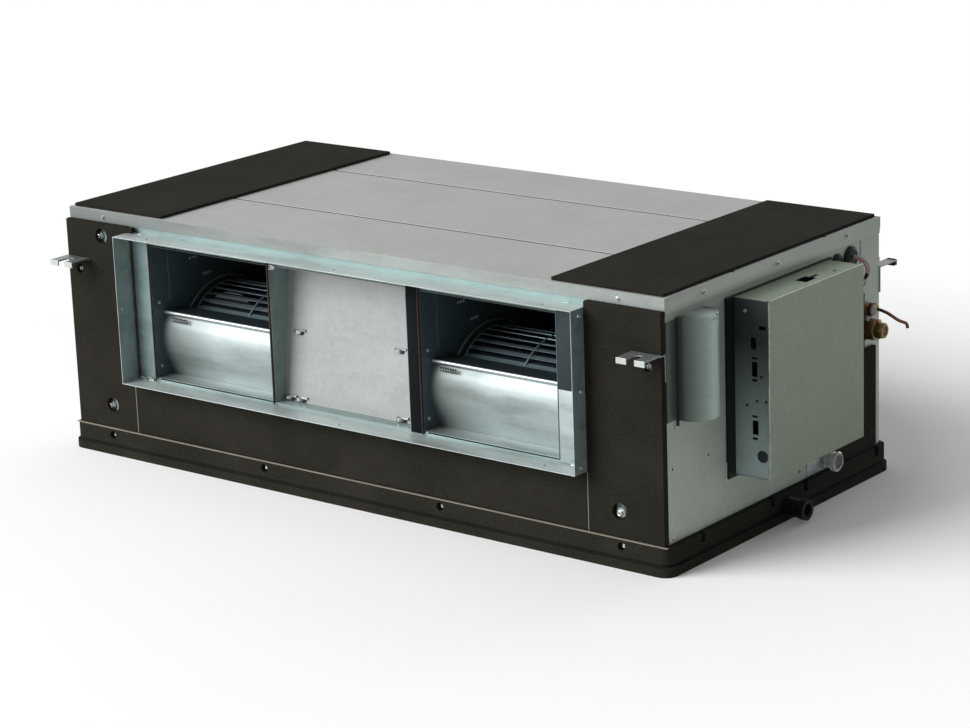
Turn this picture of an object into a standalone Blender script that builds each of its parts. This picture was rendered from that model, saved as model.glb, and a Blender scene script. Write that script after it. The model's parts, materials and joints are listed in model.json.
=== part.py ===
"""Ducted ceiling air conditioner, indoor unit: twin centrifugal fans, slab coil, side electric box.

Metres, +Z up, +X to the electric box, +Y from the air outlet to the return.
The origin is at the centre of the underside.
"""
import math

import bmesh
import bpy
from mathutils import Matrix, Vector

# Overall casing
body_width = 1.200
body_depth = 0.590
body_height = 0.370
tray_height = 0.044
panel_sheet = 0.0015
lid_sheet = 0.0012
gap = 0.0003

# Base tray
tray_side = 0.009
tray_front = 0.015
tray_wall = 0.024
tray_floor = 0.006
lip_height = 0.014
lip_flare = 0.004
lip_radius = 0.020
groove_height = 0.004
groove_depth = 0.003
notch_width = 0.010
notch_depth = 0.014
notch_places = (0.0754, 0.2622, 0.3552, 0.5645)
recess_radius = 0.007
recess_bore = 0.008
recess_drop = 0.0105
recess_places = (-0.520, -0.179, 0.184, 0.5257)

# Lid
front_flange = 0.018
side_flange = 0.026
press_depth = 0.003
press_width = 0.007
press_front = 0.181
press_rear = 0.433
strip_width = 0.200
strip_thickness = 0.005
strip_margin = 0.006

# Air outlet
collar_margin = 0.137
collar_bottom = 0.093
collar_height = 0.249
collar_reach = 0.040
collar_sheet = 0.0012
foam_thickness = 0.010
bolt_recess = 0.013
bolt_height_low = 0.041
bolt_height_high = 0.330
bolt_inset = 0.080

# Fans
fan_pitch = 0.568
fan_shift = -0.0075
axis_depth = 0.161
axis_height = 0.131
wheel_radius = 0.102
wheel_width = 0.236
blade_count = 38
blade_sweep = 12.0
blade_depth = 0.018
blade_thickness = 0.0018
ring_width = 0.007
plate_thickness = 0.0028
hub_radius = 0.018
hub_length = 0.044
shaft_radius = 0.008
shaft_overhang = 0.012
scroll_clearance = 0.012
scroll_growth = 0.046
scroll_side_clearance = 0.0105
scroll_sheet = 0.0012
scroll_rim = 0.003
outlet_bottom = 0.099
outlet_top = 0.325
inlet_radius = 0.082
bell_depth = 0.006
cutoff_angle = -40.0
nose_lip_depth = 0.025
nose_lip_drop = 0.006
nose_bulge = 0.0075
nose_crease = 0.136
nose_foot = 0.036

# Recess between the fans
recess_depth = 0.050
recess_left = 0.440
recess_right = 0.721
recess_flange = 0.045

# Motor
motor_radius = 0.062
motor_length = 0.170
saddle_length = 0.050
saddle_width = 0.112
saddle_sheet = 0.003
band_wall = 0.0028

# Coil and pan
coil_side_space = 0.062
coil_height = 0.318
coil_thickness = 0.072
coil_tilt = 18.0
coil_rear_space = 0.0776
fin_pitch = 0.024
fin_gap = 0.015
fin_proud = 0.005
end_plate = 0.0015
end_margin = 0.004
pan_front_margin = 0.0516
pan_rear_margin = 0.0536
pan_inset = 0.030
pan_height = 0.036
pan_wall = 0.003
bend_radius = 0.0115
bend_tube = 0.0045
bend_rows = 5

# Return frame
return_margin = 0.056
return_bottom = 0.028
return_top = 0.026
return_reach = 0.024

# Hanging brackets
bracket_width = 0.050
bracket_height = 0.290
bracket_leg = 0.042
bracket_reach = 0.052
bracket_sheet = 0.0025
bracket_slot = 0.014
bracket_slot_depth = 0.026
bracket_lip = 0.009
bracket_joggle = 0.0015
bracket_joggle_space = 0.001

# Electric box
ebox_front = 0.172
ebox_length = 0.260
ebox_bottom = 0.0635
ebox_height = 0.271
ebox_depth = 0.060
ebox_sheet = 0.0012
cover_rim = 0.003
back_plate = 0.004
back_plate_lead = 0.019
back_plate_drop = 0.004
board_thickness = 0.0016
board_margin = 0.022
standoff = 0.008
standoff_inset = 0.008
standoff_radius = 0.003
component_height = 0.024
component_shares = ((0.116, 0.164, 0.174, 0.219, 0.83), (0.407, 0.153, 0.209, 0.131, 0.67),
                    (0.407, 0.492, 0.163, 0.273, 0.50), (0.128, 0.601, 0.116, 0.197, 1.00))
# Openings in the box's front end, from its foot: depth from, depth to, height from, height to
end_slots = ((0.0419, 0.0549, 0.2268, 0.2330), (0.0297, 0.0387, 0.1814, 0.1850), (0.0294, 0.0393, 0.1548, 0.1774),
             (0.0297, 0.0387, 0.1475, 0.1513), (0.0297, 0.0387, 0.0925, 0.0959), (0.0300, 0.0403, 0.0663, 0.0880),
             (0.0297, 0.0387, 0.0583, 0.0618))
end_oval = (0.0322, 0.2050, 0.011, 0.019)
# Openings in the box's top, from its front end: depth from, depth to, distance from, distance to
top_openings = ((0.0225, 0.0439, 0.127, 0.157), (0.0300, 0.0365, 0.150, 0.175))

# Capacitor
capacitor_cover_front = 0.029
capacitor_cover_width = 0.072
capacitor_cover_bottom = 0.183
capacitor_cover_height = 0.154
capacitor_cover_depth = 0.042
capacitor_cover_flat = 0.010
capacitor_radius = 0.0185
capacitor_length = 0.110

# Pipes, grommets and drains
small_grommet = 0.015
large_grommet = 0.019
grommet_height = 0.322
small_grommet_depth = 0.463
large_grommet_depth = 0.502
grommet_proud = 0.006
grommet_neck = 0.8
grommet_crown = 0.72
grommet_flange = 0.003
lead_radius = 0.0022
gas_depth = 0.505
gas_height = 0.243
gas_radius = 0.0095
gas_reach = 0.040
gas_inset = 0.026
gas_bend = 0.020
gas_port = (0.030, 0.050)
liquid_depth = 0.532
liquid_height = 0.216
liquid_radius = 0.0048
liquid_inset = 0.031
liquid_bend = 0.014
liquid_port = (-0.030, -0.050)
nut_radius = 0.0135
nut_length = 0.024
nut_start = 0.010
service_behind = 0.018
service_rise = 0.016
service_radius = 0.0018
service_reach = 0.062
union_radius = 0.009
union_length = 0.018
pipe_plate_before = 0.021
pipe_plate_behind = 0.008
pipe_plate_below = 0.066
pipe_plate_above = 0.015
side_foam_rear = 0.570
drain_from_pan = 0.016
drain_height = -0.0225
drain_radius = 0.0135
drain_bore = 0.0105
drain_flare = 0.0165
drain_reach = 0.038
clear_depth = 0.425
clear_height = 0.0165
clear_radius = 0.0125
clear_reach = 0.026

left = -body_width / 2
right = body_width / 2
front = -body_depth / 2
rear = body_depth / 2
line = tray_height
top = line + body_height
panel_out = right - lid_sheet - gap
panel_in = panel_out - panel_sheet
sheet_front = front + lid_sheet + gap
axis_y = front + axis_depth
axis_z = line + axis_height
fan_x = (fan_shift - fan_pitch / 2, fan_shift + fan_pitch / 2)
scroll_half = wheel_width / 2 + scroll_side_clearance + scroll_sheet
coil_length = body_width - 2 * coil_side_space
plate_height = coil_height + 2 * end_margin
plate_depth = coil_thickness + 2 * end_margin
tilt = math.radians(coil_tilt)
coil_half = (plate_height * math.sin(tilt) + plate_depth * math.cos(tilt)) / 2
coil_y = rear - coil_rear_space - coil_half
pan_y = (coil_y - coil_half - pan_front_margin, coil_y + coil_half + pan_rear_margin)

for item in list(bpy.data.objects):
    bpy.data.objects.remove(item, do_unlink=True)

parts = bpy.data.collections.new("air_conditioner_indoor_unit")
cutters = bpy.data.collections.new("cutters")
bpy.context.scene.collection.children.link(parts)
bpy.context.scene.collection.children.link(cutters)
materials = {}


def paint(name, colour, roughness, metallic=0.0):
    material = bpy.data.materials.new(name)
    material.use_nodes = True
    shader = material.node_tree.nodes["Principled BSDF"]
    shader.inputs["Base Color"].default_value = (*colour, 1.0)
    shader.inputs["Roughness"].default_value = roughness
    shader.inputs["Metallic"].default_value = metallic
    materials[name] = material


paint("galvanised", (0.46, 0.50, 0.49), 0.36, 0.9)
paint("foam", (0.030, 0.026, 0.022), 0.95)
paint("wheel_steel", (0.20, 0.24, 0.26), 0.35, 0.9)
paint("motor_paint", (0.05, 0.05, 0.055), 0.5, 0.2)
paint("shaft_steel", (0.55, 0.55, 0.56), 0.25, 1.0)
paint("fin_aluminium", (0.72, 0.74, 0.76), 0.4, 1.0)
paint("copper", (0.66, 0.30, 0.16), 0.3, 1.0)
paint("brass", (0.55, 0.40, 0.14), 0.32, 1.0)
paint("black_plastic", (0.012, 0.012, 0.013), 0.5)
paint("rubber", (0.015, 0.015, 0.016), 0.8)
paint("clear_plastic", (0.62, 0.64, 0.62), 0.15)
paint("board_green", (0.02, 0.16, 0.07), 0.45)
paint("pan_white", (0.72, 0.73, 0.72), 0.5)
paint("lead_pink", (0.62, 0.38, 0.42), 0.55)
paint("capacitor_white", (0.75, 0.75, 0.72), 0.4)
paint("transformer_iron", (0.12, 0.11, 0.10), 0.6, 0.5)


def finish(mesh, name, material, group=None):
    item = bpy.data.objects.new(name, mesh)
    (group or parts).objects.link(item)
    if group is cutters:
        item.hide_render = True
        item.display_type = "WIRE"
    else:
        mesh.materials.append(materials[material])
    return item


def as_object(bm, name, material, group=None, smooth=False):
    bmesh.ops.recalc_face_normals(bm, faces=bm.faces)
    mesh = bpy.data.meshes.new(name)
    bm.to_mesh(mesh)
    bm.free()
    if smooth:
        mesh.shade_smooth()
        mesh.set_sharp_from_angle(angle=math.radians(35))
    return finish(mesh, name, material, group)


def box(name, xs, ys, zs, material="galvanised", group=None, corner=0.0, segments=4, axis="Z"):
    """A block between three pairs of limits, with rounded edges along one axis if asked."""
    bm = bmesh.new()
    centre = Vector(((xs[0] + xs[1]) / 2, (ys[0] + ys[1]) / 2, (zs[0] + zs[1]) / 2))
    size = (xs[1] - xs[0], ys[1] - ys[0], zs[1] - zs[0])
    place = Matrix.Translation(centre) @ Matrix.Diagonal((*size, 1.0))
    bmesh.ops.create_cube(bm, size=1.0, matrix=place)
    if corner:
        index = "XYZ".index(axis)
        edges = [e for e in bm.edges if abs((e.verts[0].co - e.verts[1].co)[index]) > size[index] / 2]
        bmesh.ops.bevel(bm, geom=edges, offset=corner, segments=segments, profile=0.5, affect="EDGES")
    return as_object(bm, name, material, group)


def rod(name, radius, start, end, material="galvanised", group=None, sides=32, radius_end=None):
    """A round bar between two points."""
    start, end = Vector(start), Vector(end)
    run = end - start
    bm = bmesh.new()
    turn = run.to_track_quat("Z", "Y").to_matrix().to_4x4()
    place = Matrix.Translation((start + end) / 2) @ turn
    bmesh.ops.create_cone(bm, cap_ends=True, segments=sides, radius1=radius,
                          radius2=radius if radius_end is None else radius_end,
                          depth=run.length, matrix=place)
    return as_object(bm, name, material, group, smooth=True)


def cut(item, cutter, operation="DIFFERENCE"):
    modifier = item.modifiers.new(cutter.name, "BOOLEAN")
    modifier.operation = operation
    modifier.object = cutter
    return item


def join(item, other):
    return cut(item, other, "UNION")


def folded(name, points, span, axis, thickness, material="galvanised", group=None, smooth=False, offset=-1.0):
    """A bent sheet: an open outline swept along one axis, then thickened."""
    bm = bmesh.new()
    low = []
    high = []
    for first, second in points:
        if axis == "X":
            low.append(bm.verts.new((span[0], first, second)))
            high.append(bm.verts.new((span[1], first, second)))
        elif axis == "Y":
            low.append(bm.verts.new((first, span[0], second)))
            high.append(bm.verts.new((first, span[1], second)))
        else:
            low.append(bm.verts.new((first, second, span[0])))
            high.append(bm.verts.new((first, second, span[1])))
    for i in range(len(points) - 1):
        bm.faces.new((low[i], low[i + 1], high[i + 1], high[i]))
    mesh = bpy.data.meshes.new(name)
    bm.to_mesh(mesh)
    bm.free()
    if smooth:
        mesh.shade_smooth()
        mesh.set_sharp_from_angle(angle=math.radians(35))
    item = finish(mesh, name, material, group)
    shell = item.modifiers.new("sheet", "SOLIDIFY")
    shell.thickness = thickness
    shell.offset = offset
    shell.use_even_offset = True
    return item


def flat_plate(name, outline, holes, x_start, x_end, material="galvanised", group=None):
    """A plate across X cut to an outline in Y and Z, with round holes, as a closed mesh."""
    curve = bpy.data.curves.new(name, "CURVE")
    curve.dimensions = "2D"
    curve.fill_mode = "BOTH"
    curve.extrude = abs(x_end - x_start) / 2
    for ring in [outline] + holes:
        spline = curve.splines.new("POLY")
        spline.points.add(len(ring) - 1)
        for point, (y, z) in zip(spline.points, ring):
            point.co = (y, z, 0.0, 1.0)
        spline.use_cyclic_u = True
    guide = bpy.data.objects.new(name + "_outline", curve)
    cutters.objects.link(guide)
    guide.matrix_world = Matrix(((0, 0, 1, (x_start + x_end) / 2), (1, 0, 0, 0), (0, 1, 0, 0), (0, 0, 0, 1)))
    return meshed(guide, name, material, group)


def meshed(guide, name, material, group=None):
    """Turns a curve object into a mesh object in place, with its caps welded."""
    bpy.context.view_layer.update()
    graph = bpy.context.evaluated_depsgraph_get()
    mesh = bpy.data.meshes.new_from_object(guide.evaluated_get(graph))
    place = guide.matrix_world.copy()
    bpy.data.objects.remove(guide, do_unlink=True)
    mesh.materials.clear()
    bm = bmesh.new()
    bm.from_mesh(mesh)
    bmesh.ops.remove_doubles(bm, verts=bm.verts, dist=0.00001)
    if group is cutters:
        bmesh.ops.triangulate(bm, faces=bm.faces)
    bmesh.ops.recalc_face_normals(bm, faces=bm.faces)
    bm.to_mesh(mesh)
    bm.free()
    item = finish(mesh, name, material, group)
    item.matrix_world = place
    return item


def tube(name, points, radius, material, sides=2, group=None):
    """A round tube along points joined by a smooth curve."""
    curve = bpy.data.curves.new(name, "CURVE")
    curve.dimensions = "3D"
    curve.bevel_depth = radius
    curve.bevel_resolution = sides
    curve.use_fill_caps = True
    spline = curve.splines.new("POLY")
    spline.points.add(len(points) - 1)
    for point, place in zip(spline.points, points):
        point.co = (*place, 1.0)
    guide = bpy.data.objects.new(name + "_path", curve)
    cutters.objects.link(guide)
    item = meshed(guide, name, material, group)
    item.data.shade_smooth()
    item.data.set_sharp_from_angle(angle=math.radians(40))
    return item


def turned(name, profile, place, material, group=None, steps=32):
    """A turned piece about local Z: (radius, height) pairs down the outer side, then up the bore."""
    bm = bmesh.new()
    verts = [bm.verts.new((radius, 0.0, height)) for radius, height in profile]
    loop = verts + [verts[0]]
    for a, b in zip(loop, loop[1:]):
        bm.edges.new((a, b))
    mesh = bpy.data.meshes.new(name)
    bm.to_mesh(mesh)
    bm.free()
    item = finish(mesh, name, material, group)
    screw = item.modifiers.new("turn", "SCREW")
    screw.steps = steps
    screw.render_steps = steps
    screw.use_merge_vertices = True
    screw.merge_threshold = 0.00001
    screw.use_smooth_shade = True
    if group is cutters:
        item.modifiers.new("flat_faces", "TRIANGULATE")
    item.matrix_world = place
    return item


def rounded_path(corners, radius, steps=5):
    """Points along straight runs whose corners are rounded."""
    corners = [Vector(c) for c in corners]
    path = [corners[0]]
    for before, here, after in zip(corners, corners[1:], corners[2:]):
        arm = min(radius, (before - here).length * 0.45, (after - here).length * 0.45)
        start = here + (before - here).normalized() * arm
        end = here + (after - here).normalized() * arm
        for i in range(steps + 1):
            t = i / steps
            path.append(start * (1 - t) ** 2 + here * 2 * t * (1 - t) + end * t ** 2)
    path.append(corners[-1])
    return path


def circle(centre, radius, count=40):
    turn = 2 * math.pi / count
    return [(centre[0] + radius * math.cos(turn * i), centre[1] + radius * math.sin(turn * i)) for i in range(count)]


# Base tray: a flared lip, a groove and an upper band around an open pan
tray_x = (left - tray_side, right + tray_side)
tray_y = (front - tray_front, rear + tray_side)
lip_x = (tray_x[0] - lip_flare, tray_x[1] + lip_flare)
lip_y = (tray_y[0] - lip_flare, tray_y[1] + lip_flare)
hollow_x = (tray_x[0] + tray_wall, tray_x[1] - tray_wall)
hollow_y = (tray_y[0] + tray_front + tray_wall - tray_side, tray_y[1] - tray_wall)
base_tray = box("base_tray", lip_x, lip_y, (0.0, lip_height), "foam", corner=lip_radius, segments=5)
neck = box("tray_neck", (tray_x[0] + groove_depth, tray_x[1] - groove_depth),
           (tray_y[0] + groove_depth, tray_y[1] - groove_depth), (lip_height - 0.002, lip_height + groove_height + 0.002),
           group=cutters, corner=lip_radius - lip_flare - groove_depth, segments=5)
band = box("tray_band", tray_x, tray_y, (lip_height + groove_height, line), group=cutters,
           corner=lip_radius - lip_flare, segments=5)
hollow = box("tray_hollow", hollow_x, hollow_y, (tray_floor, line + 0.01), group=cutters)
join(base_tray, neck)
join(base_tray, band)
cut(base_tray, hollow)
for number, depth in enumerate(notch_places):
    middle = front + depth
    for label, xs in (("left", (tray_x[0] - 0.01, left)), ("right", (right, tray_x[1] + 0.01))):
        cut(base_tray, box(f"tray_notch_{label}_{number}", xs, (middle - notch_width / 2, middle + notch_width / 2),
                           (line - notch_depth, line + 0.01), group=cutters))
for number, x in enumerate(recess_places):
    cut(base_tray, rod(f"tray_recess_{number}", recess_radius, (x, tray_y[0] - 0.01, line - recess_drop),
                       (x, tray_y[0] + recess_bore, line - recess_drop), group=cutters, sides=16))
drain_y = pan_y[0] + drain_from_pan
drain_z = line + drain_height
cut(base_tray, rod("tray_drain_hole", drain_radius + gap, (hollow_x[1] - 0.01, drain_y, drain_z),
                   (lip_x[1] + 0.01, drain_y, drain_z), group=cutters))

# Side, front and rear sheets of the casing, standing on the tray's rim
sheet_bottom = line + gap
sheet_top = top - lid_sheet - gap
side_top = sheet_top - press_depth
sheet_rear = rear - lid_sheet - gap
clear_y = front + clear_depth
clear_z = line + clear_height
small_y = front + small_grommet_depth
large_y = front + large_grommet_depth
grommet_z = line + grommet_height
gas_y = front + gas_depth
gas_z = line + gas_height
liquid_y = front + liquid_depth
liquid_z = line + liquid_height
service_y = liquid_y + service_behind
service_z = liquid_z + service_rise
box("left_panel", (-panel_out, -panel_in), (sheet_front, sheet_rear), (sheet_bottom, side_top))
right_panel = box("right_panel", (panel_in, panel_out), (sheet_front, sheet_rear), (sheet_bottom, side_top))
for label, radius, y, z in (("small_grommet", small_grommet * grommet_neck, small_y, grommet_z),
                            ("large_grommet", large_grommet * grommet_neck, large_y, grommet_z),
                            ("gas", gas_radius + 4 * gap, gas_y, gas_z),
                            ("liquid", liquid_radius + 4 * gap, liquid_y, liquid_z),
                            ("service", service_radius + 4 * gap, service_y, service_z),
                            ("clear", clear_radius + gap, clear_y, clear_z)):
    cut(right_panel, rod("panel_hole_" + label, radius, (panel_in - 0.01, y, z), (panel_out + 0.01, y, z),
                         group=cutters, sides=20))

inner_x = (-panel_in + gap, panel_in - gap)
outlet_x = (left + collar_margin, right - collar_margin)
opening_x = (fan_x[0] - scroll_half - gap, fan_x[1] + scroll_half + gap)
opening_z = (line + outlet_bottom - scroll_sheet - gap, line + outlet_top + gap)
bulkhead_y = (sheet_front, sheet_front + panel_sheet)
bulkhead = box("front_bulkhead", inner_x, bulkhead_y, (sheet_bottom, sheet_top))
cut(bulkhead, box("outlet_opening", opening_x, (front - 0.01, front + 0.02), opening_z, group=cutters))

return_x = (left + return_margin, right - return_margin)
return_z = (line + return_bottom, top - return_top)
rear_frame = box("rear_frame", inner_x, (sheet_rear - panel_sheet, sheet_rear), (sheet_bottom, sheet_top))
collar_rear = box("return_collar", return_x, (sheet_rear - panel_sheet / 2, rear + return_reach), return_z, group=cutters)
join(rear_frame, collar_rear)
cut(rear_frame, box("return_opening", (return_x[0] + panel_sheet, return_x[1] - panel_sheet), (rear - 0.05, rear + 0.05),
                    (return_z[0] + panel_sheet, return_z[1] - panel_sheet), group=cutters))

# Lid with two pressed grooves, turned down all round
lid_profile = [(front, top - front_flange), (front, top)]
for depth in (press_front, press_rear):
    middle = front + depth
    lid_profile += [(middle - press_width / 2, top), (middle - press_width / 4, top - press_depth),
                    (middle + press_width / 4, top - press_depth), (middle + press_width / 2, top)]
lid_profile += [(rear, top), (rear, top - front_flange)]
lid = folded("top_panel", lid_profile, (left, right), "X", lid_sheet, offset=1.0)
for label, side in (("left", (left, left + lid_sheet)), ("right", (right - lid_sheet, right))):
    join(lid, box("lid_flange_" + label, side, (sheet_front, sheet_rear), (top - side_flange, top - lid_sheet / 3), group=cutters))
for label, start in (("left", left + strip_margin), ("right", right - strip_margin - strip_width)):
    box("top_foam_" + label, (start, start + strip_width), (front + strip_margin, rear - strip_margin),
        (top + gap, top + strip_thickness), "foam", corner=0.0015, segments=1)

# Outlet collar standing on the bulkhead
collar_z = (line + collar_bottom, line + collar_bottom + collar_height)
collar_y = (front - collar_reach, sheet_front - gap)
collar = box("outlet_collar", outlet_x, collar_y, collar_z)
cut(collar, box("collar_bore", (outlet_x[0] + collar_sheet, outlet_x[1] - collar_sheet),
                (collar_y[0] - 0.01, collar_y[1] + 0.01),
                (collar_z[0] + collar_sheet, collar_z[1] - collar_sheet), group=cutters))

# Hanging brackets: a leg against the casing, a slotted arm and turned-down tips. The front arms step up past the foam
def bracket(name, start, side):
    arm = line + bracket_height
    leg_low = arm - bracket_leg
    base = front + lid_sheet if side < 0 else rear - lid_sheet
    reach = (front - bracket_reach) if side < 0 else (rear + bracket_reach)
    profile = [(base, leg_low), (base, arm), (reach, arm), (reach, arm - bracket_lip)]
    if side < 0:
        ramp = front - foam_thickness - bracket_joggle_space
        profile[1:2] = [(base, arm - bracket_joggle), (ramp, arm - bracket_joggle), (ramp - bracket_joggle, arm)]
    item = folded(name, profile, (start, start + bracket_width), "X", bracket_sheet,
                  offset=-1.0 if side < 0 else 1.0)
    middle = start + bracket_width / 2
    inner = reach - side * bracket_slot_depth
    slot = box(name + "_slot", (middle - bracket_slot / 2, middle + bracket_slot / 2),
               tuple(sorted((reach + side * 0.01, inner + side * bracket_slot / 2))),
               (arm - 0.03, arm + 0.02), group=cutters)
    round_end = rod(name + "_slot_end", bracket_slot / 2, (middle, inner + side * bracket_slot / 2, arm - 0.025),
                    (middle, inner + side * bracket_slot / 2, arm + 0.025), group=cutters, sides=24)
    cut(item, slot)
    cut(item, round_end)
    return item


bracket("bracket_front_left", left, -1)
bracket("bracket_front_right", right - bracket_width, -1)
bracket("bracket_rear_left", left, 1)
bracket("bracket_rear_right", right - bracket_width, 1)

# Front foam, pocketed behind for the bracket legs and holed for the bolts
foam_y = (front - foam_thickness, sheet_front - gap)
foam_top = top - front_flange - gap
arm_z = line + bracket_height


def front_foam(name, xs, side, bolt_heights):
    item = box(name, xs, foam_y, (sheet_bottom, foam_top), "foam", corner=0.0025, segments=2, axis="X")
    start = left if side < 0 else right - bracket_width
    leg = box(name + "_leg", (start - gap - 0.01, start + bracket_width + gap) if side < 0 else
              (start - gap, start + bracket_width + gap + 0.01),
              (foam_y[1] - bracket_sheet - gap, foam_y[1] + 0.01),
              (arm_z - bracket_leg - gap, arm_z - bracket_joggle + gap), group=cutters)
    arm = box(name + "_arm", (start - gap - 0.01, start + bracket_width + gap) if side < 0 else
              (start - gap, start + bracket_width + gap + 0.01),
              (foam_y[0] - 0.01, foam_y[1] + 0.01),
              (arm_z - bracket_joggle - bracket_sheet - gap, arm_z - bracket_joggle + gap), group=cutters)
    cut(item, leg)
    cut(item, arm)
    hole_x = left + bolt_inset if side < 0 else right - bolt_inset
    for height in bolt_heights:
        cut(item, rod(name + "_hole", bolt_recess, (hole_x, foam_y[0] - 0.01, line + height),
                      (hole_x, foam_y[1] + 0.01, line + height), group=cutters, sides=24))
    bolt_x = start + bracket_width / 2
    bolt_z = arm_z - bracket_leg / 2
    cut(item, rod(name + "_bolt", bolt_recess * 0.6, (bolt_x, foam_y[0] - 0.01, bolt_z),
                  (bolt_x, foam_y[1] + 0.01, bolt_z), group=cutters, sides=20))
    return item


front_foam("front_foam_left", (left + gap, outlet_x[0] - gap), -1, (bolt_height_low, bolt_height_high))
front_foam("front_foam_right", (outlet_x[1] + gap, right - gap), 1, (bolt_height_low,))
box("front_foam_lower", (outlet_x[0], outlet_x[1]), foam_y, (sheet_bottom, collar_z[0] - gap), "foam",
    corner=0.0025, segments=2, axis="X")

# Recess between the fans, a folded tray open to the front
recess_x = (left + recess_left + gap, left + recess_right - gap)
recess_z = (opening_z[0] + gap, opening_z[1] - gap)
recess = box("centre_plate", recess_x, (front, front + recess_depth), recess_z)
cut(recess, box("centre_hollow", (recess_x[0] + lid_sheet, recess_x[1] - lid_sheet),
                (front - 0.01, front + recess_depth - lid_sheet),
                (recess_z[0] + lid_sheet, recess_z[1] - lid_sheet), group=cutters))


# Fan housings: a spiral wrap between two side plates that carry the turned inlet mouths
def spiral(angle, extra=0.0):
    share = (angle - cutoff_angle) / (270.0 - cutoff_angle)
    radius = wheel_radius + scroll_clearance + scroll_growth * share + extra
    turn = math.radians(angle)
    return (axis_y - radius * math.cos(turn), axis_z - radius * math.sin(turn))


def steps(start, end, count):
    return [start + (end - start) * i / count for i in range(count + 1)]


wrap_path = [spiral(a) for a in steps(cutoff_angle, 270.0, 21)] + [(front + gap, line + outlet_top - scroll_sheet * 2)]
plate_outline = [spiral(a, scroll_rim) for a in steps(14.0, 270.0, 18)]
plate_outline += [(front, line + outlet_top), (front, line + outlet_bottom), (front + nose_foot, line + outlet_bottom)]


def nose_path():
    """From the cut-off forward over a round lip, down a bulged front and back along the outlet floor."""
    start = spiral(cutoff_angle)
    lip_y = front + nose_lip_depth
    lip_z = start[1] + nose_lip_drop * 0.6
    path = [(start[0] - scroll_sheet - 2 * gap, start[1] + scroll_sheet), (lip_y + nose_lip_drop * 1.4, lip_z + 0.0005)]
    for a in steps(80.0, 170.0, 5):
        turn = math.radians(a)
        path.append((lip_y + nose_lip_drop - nose_lip_drop * math.sin(turn - math.pi / 2 + math.radians(80)) - 0.0002,
                     lip_z - nose_lip_drop * (1 - math.cos(turn - math.radians(80)))))
    top_y, top_z = path[-1]
    crease_z = line + nose_crease
    for share in steps(0.15, 1.0, 6):
        z = top_z + (crease_z - top_z) * share
        path.append((lip_y - nose_bulge * math.sin(math.pi * share * 0.92), z))
    path.append((front + nose_foot, line + outlet_bottom + scroll_sheet * 2))
    path.append((front + nose_foot - 0.001, line + outlet_bottom + scroll_sheet))
    path.append((front + gap, line + outlet_bottom + scroll_sheet))
    return path


along_x = Matrix.Rotation(math.pi / 2, 4, "Y")
for label, centre in zip(("left", "right"), fan_x):
    inner = (centre - scroll_half + scroll_sheet + gap, centre + scroll_half - scroll_sheet - gap)
    folded("scroll_" + label, wrap_path, inner, "X", scroll_sheet, smooth=True, offset=1.0)
    for number, start in enumerate((centre - scroll_half, centre + scroll_half - scroll_sheet)):
        end = "outer" if (label == "left") == (number == 0) else "inner"
        plate = flat_plate(f"scroll_plate_{label}_{end}", plate_outline, [circle((axis_y, axis_z), inlet_radius + 0.003, 28)],
                           start, start + scroll_sheet, "galvanised")
        facing = 1 if number == 0 else -1
        plate_face = start if number == 0 else start + scroll_sheet
        mouth = [(inlet_radius + 0.006, -scroll_sheet * 0.7), (inlet_radius + 0.006, scroll_sheet * 1.3),
                 (inlet_radius - 0.003, bell_depth), (inlet_radius - 0.0005, -scroll_sheet * 0.7)]
        turn = Matrix.Rotation(facing * math.pi / 2, 4, "Y")
        place = Matrix.Translation((plate_face + facing * scroll_sheet * 0.2, axis_y, axis_z)) @ turn
        join(plate, turned(f"mouth_{label}_{number}", list(reversed(mouth)), place, None, cutters, steps=28))
    nose_x = (centre - scroll_half + scroll_sheet + gap, centre + scroll_half - scroll_sheet - gap)
    folded("nose_" + label, nose_path(), nose_x, "X", scroll_sheet, smooth=True, offset=1.0)


# Fan wheels: a middle disc on its hub, and on each side of it forward-curved blades standing on an end ring
def disc(name, centre):
    half = plate_thickness / 2
    hub_half = hub_length / 2
    profile = [(hub_radius, hub_half), (hub_radius, half), (wheel_radius, half), (wheel_radius, -half), (hub_radius, -half),
               (hub_radius, -hub_half), (shaft_radius + gap, -hub_half), (shaft_radius + gap, hub_half)]
    return turned(name, profile, Matrix.Translation((centre, axis_y, axis_z)) @ along_x, "wheel_steel", steps=blade_count)


def cage(name, centre, side):
    bm = bmesh.new()
    bore_radius = wheel_radius - blade_depth
    middle_radius = wheel_radius - blade_depth * 0.42
    pitch = 2 * math.pi / blade_count
    sweep = math.radians(blade_sweep)
    half_blade = blade_thickness / 2 / middle_radius
    planes = [side * x for x in (wheel_width / 2, wheel_width / 2 - ring_width, plate_thickness / 2 + gap)]

    def around(x, radius, angle):
        return [bm.verts.new((x, radius * math.cos(angle + pitch * k), radius * math.sin(angle + pitch * k)))
                for k in range(blade_count)]

    inside = [around(x, bore_radius, 0.0) for x in planes]
    outside = [around(x, wheel_radius, sweep) for x in planes]
    leading = {i: around(planes[i], middle_radius, sweep * 0.34 - half_blade) for i in (1, 2)}
    trailing = {i: around(planes[i], middle_radius, sweep * 0.34 + half_blade) for i in (1, 2)}
    for k in range(blade_count):
        j = (k + 1) % blade_count
        for first, second in ((inside[0], outside[0]), (outside[0], outside[1]), (inside[0], inside[1])):
            bm.faces.new((first[k], first[j], second[j], second[k]))
        bm.faces.new((inside[1][k], trailing[1][k], outside[1][k], outside[1][j], leading[1][j], inside[1][j]))
        for first, second in ((inside, leading), (leading, outside), (inside, trailing), (trailing, outside)):
            bm.faces.new((first[1][k], second[1][k], second[2][k], first[2][k]))
        bm.faces.new((inside[2][k], leading[2][k], trailing[2][k]))
        bm.faces.new((outside[2][k], leading[2][k], trailing[2][k]))
    item = as_object(bm, name, "wheel_steel", smooth=True)
    item.location = (centre, axis_y, axis_z)
    return item


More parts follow.
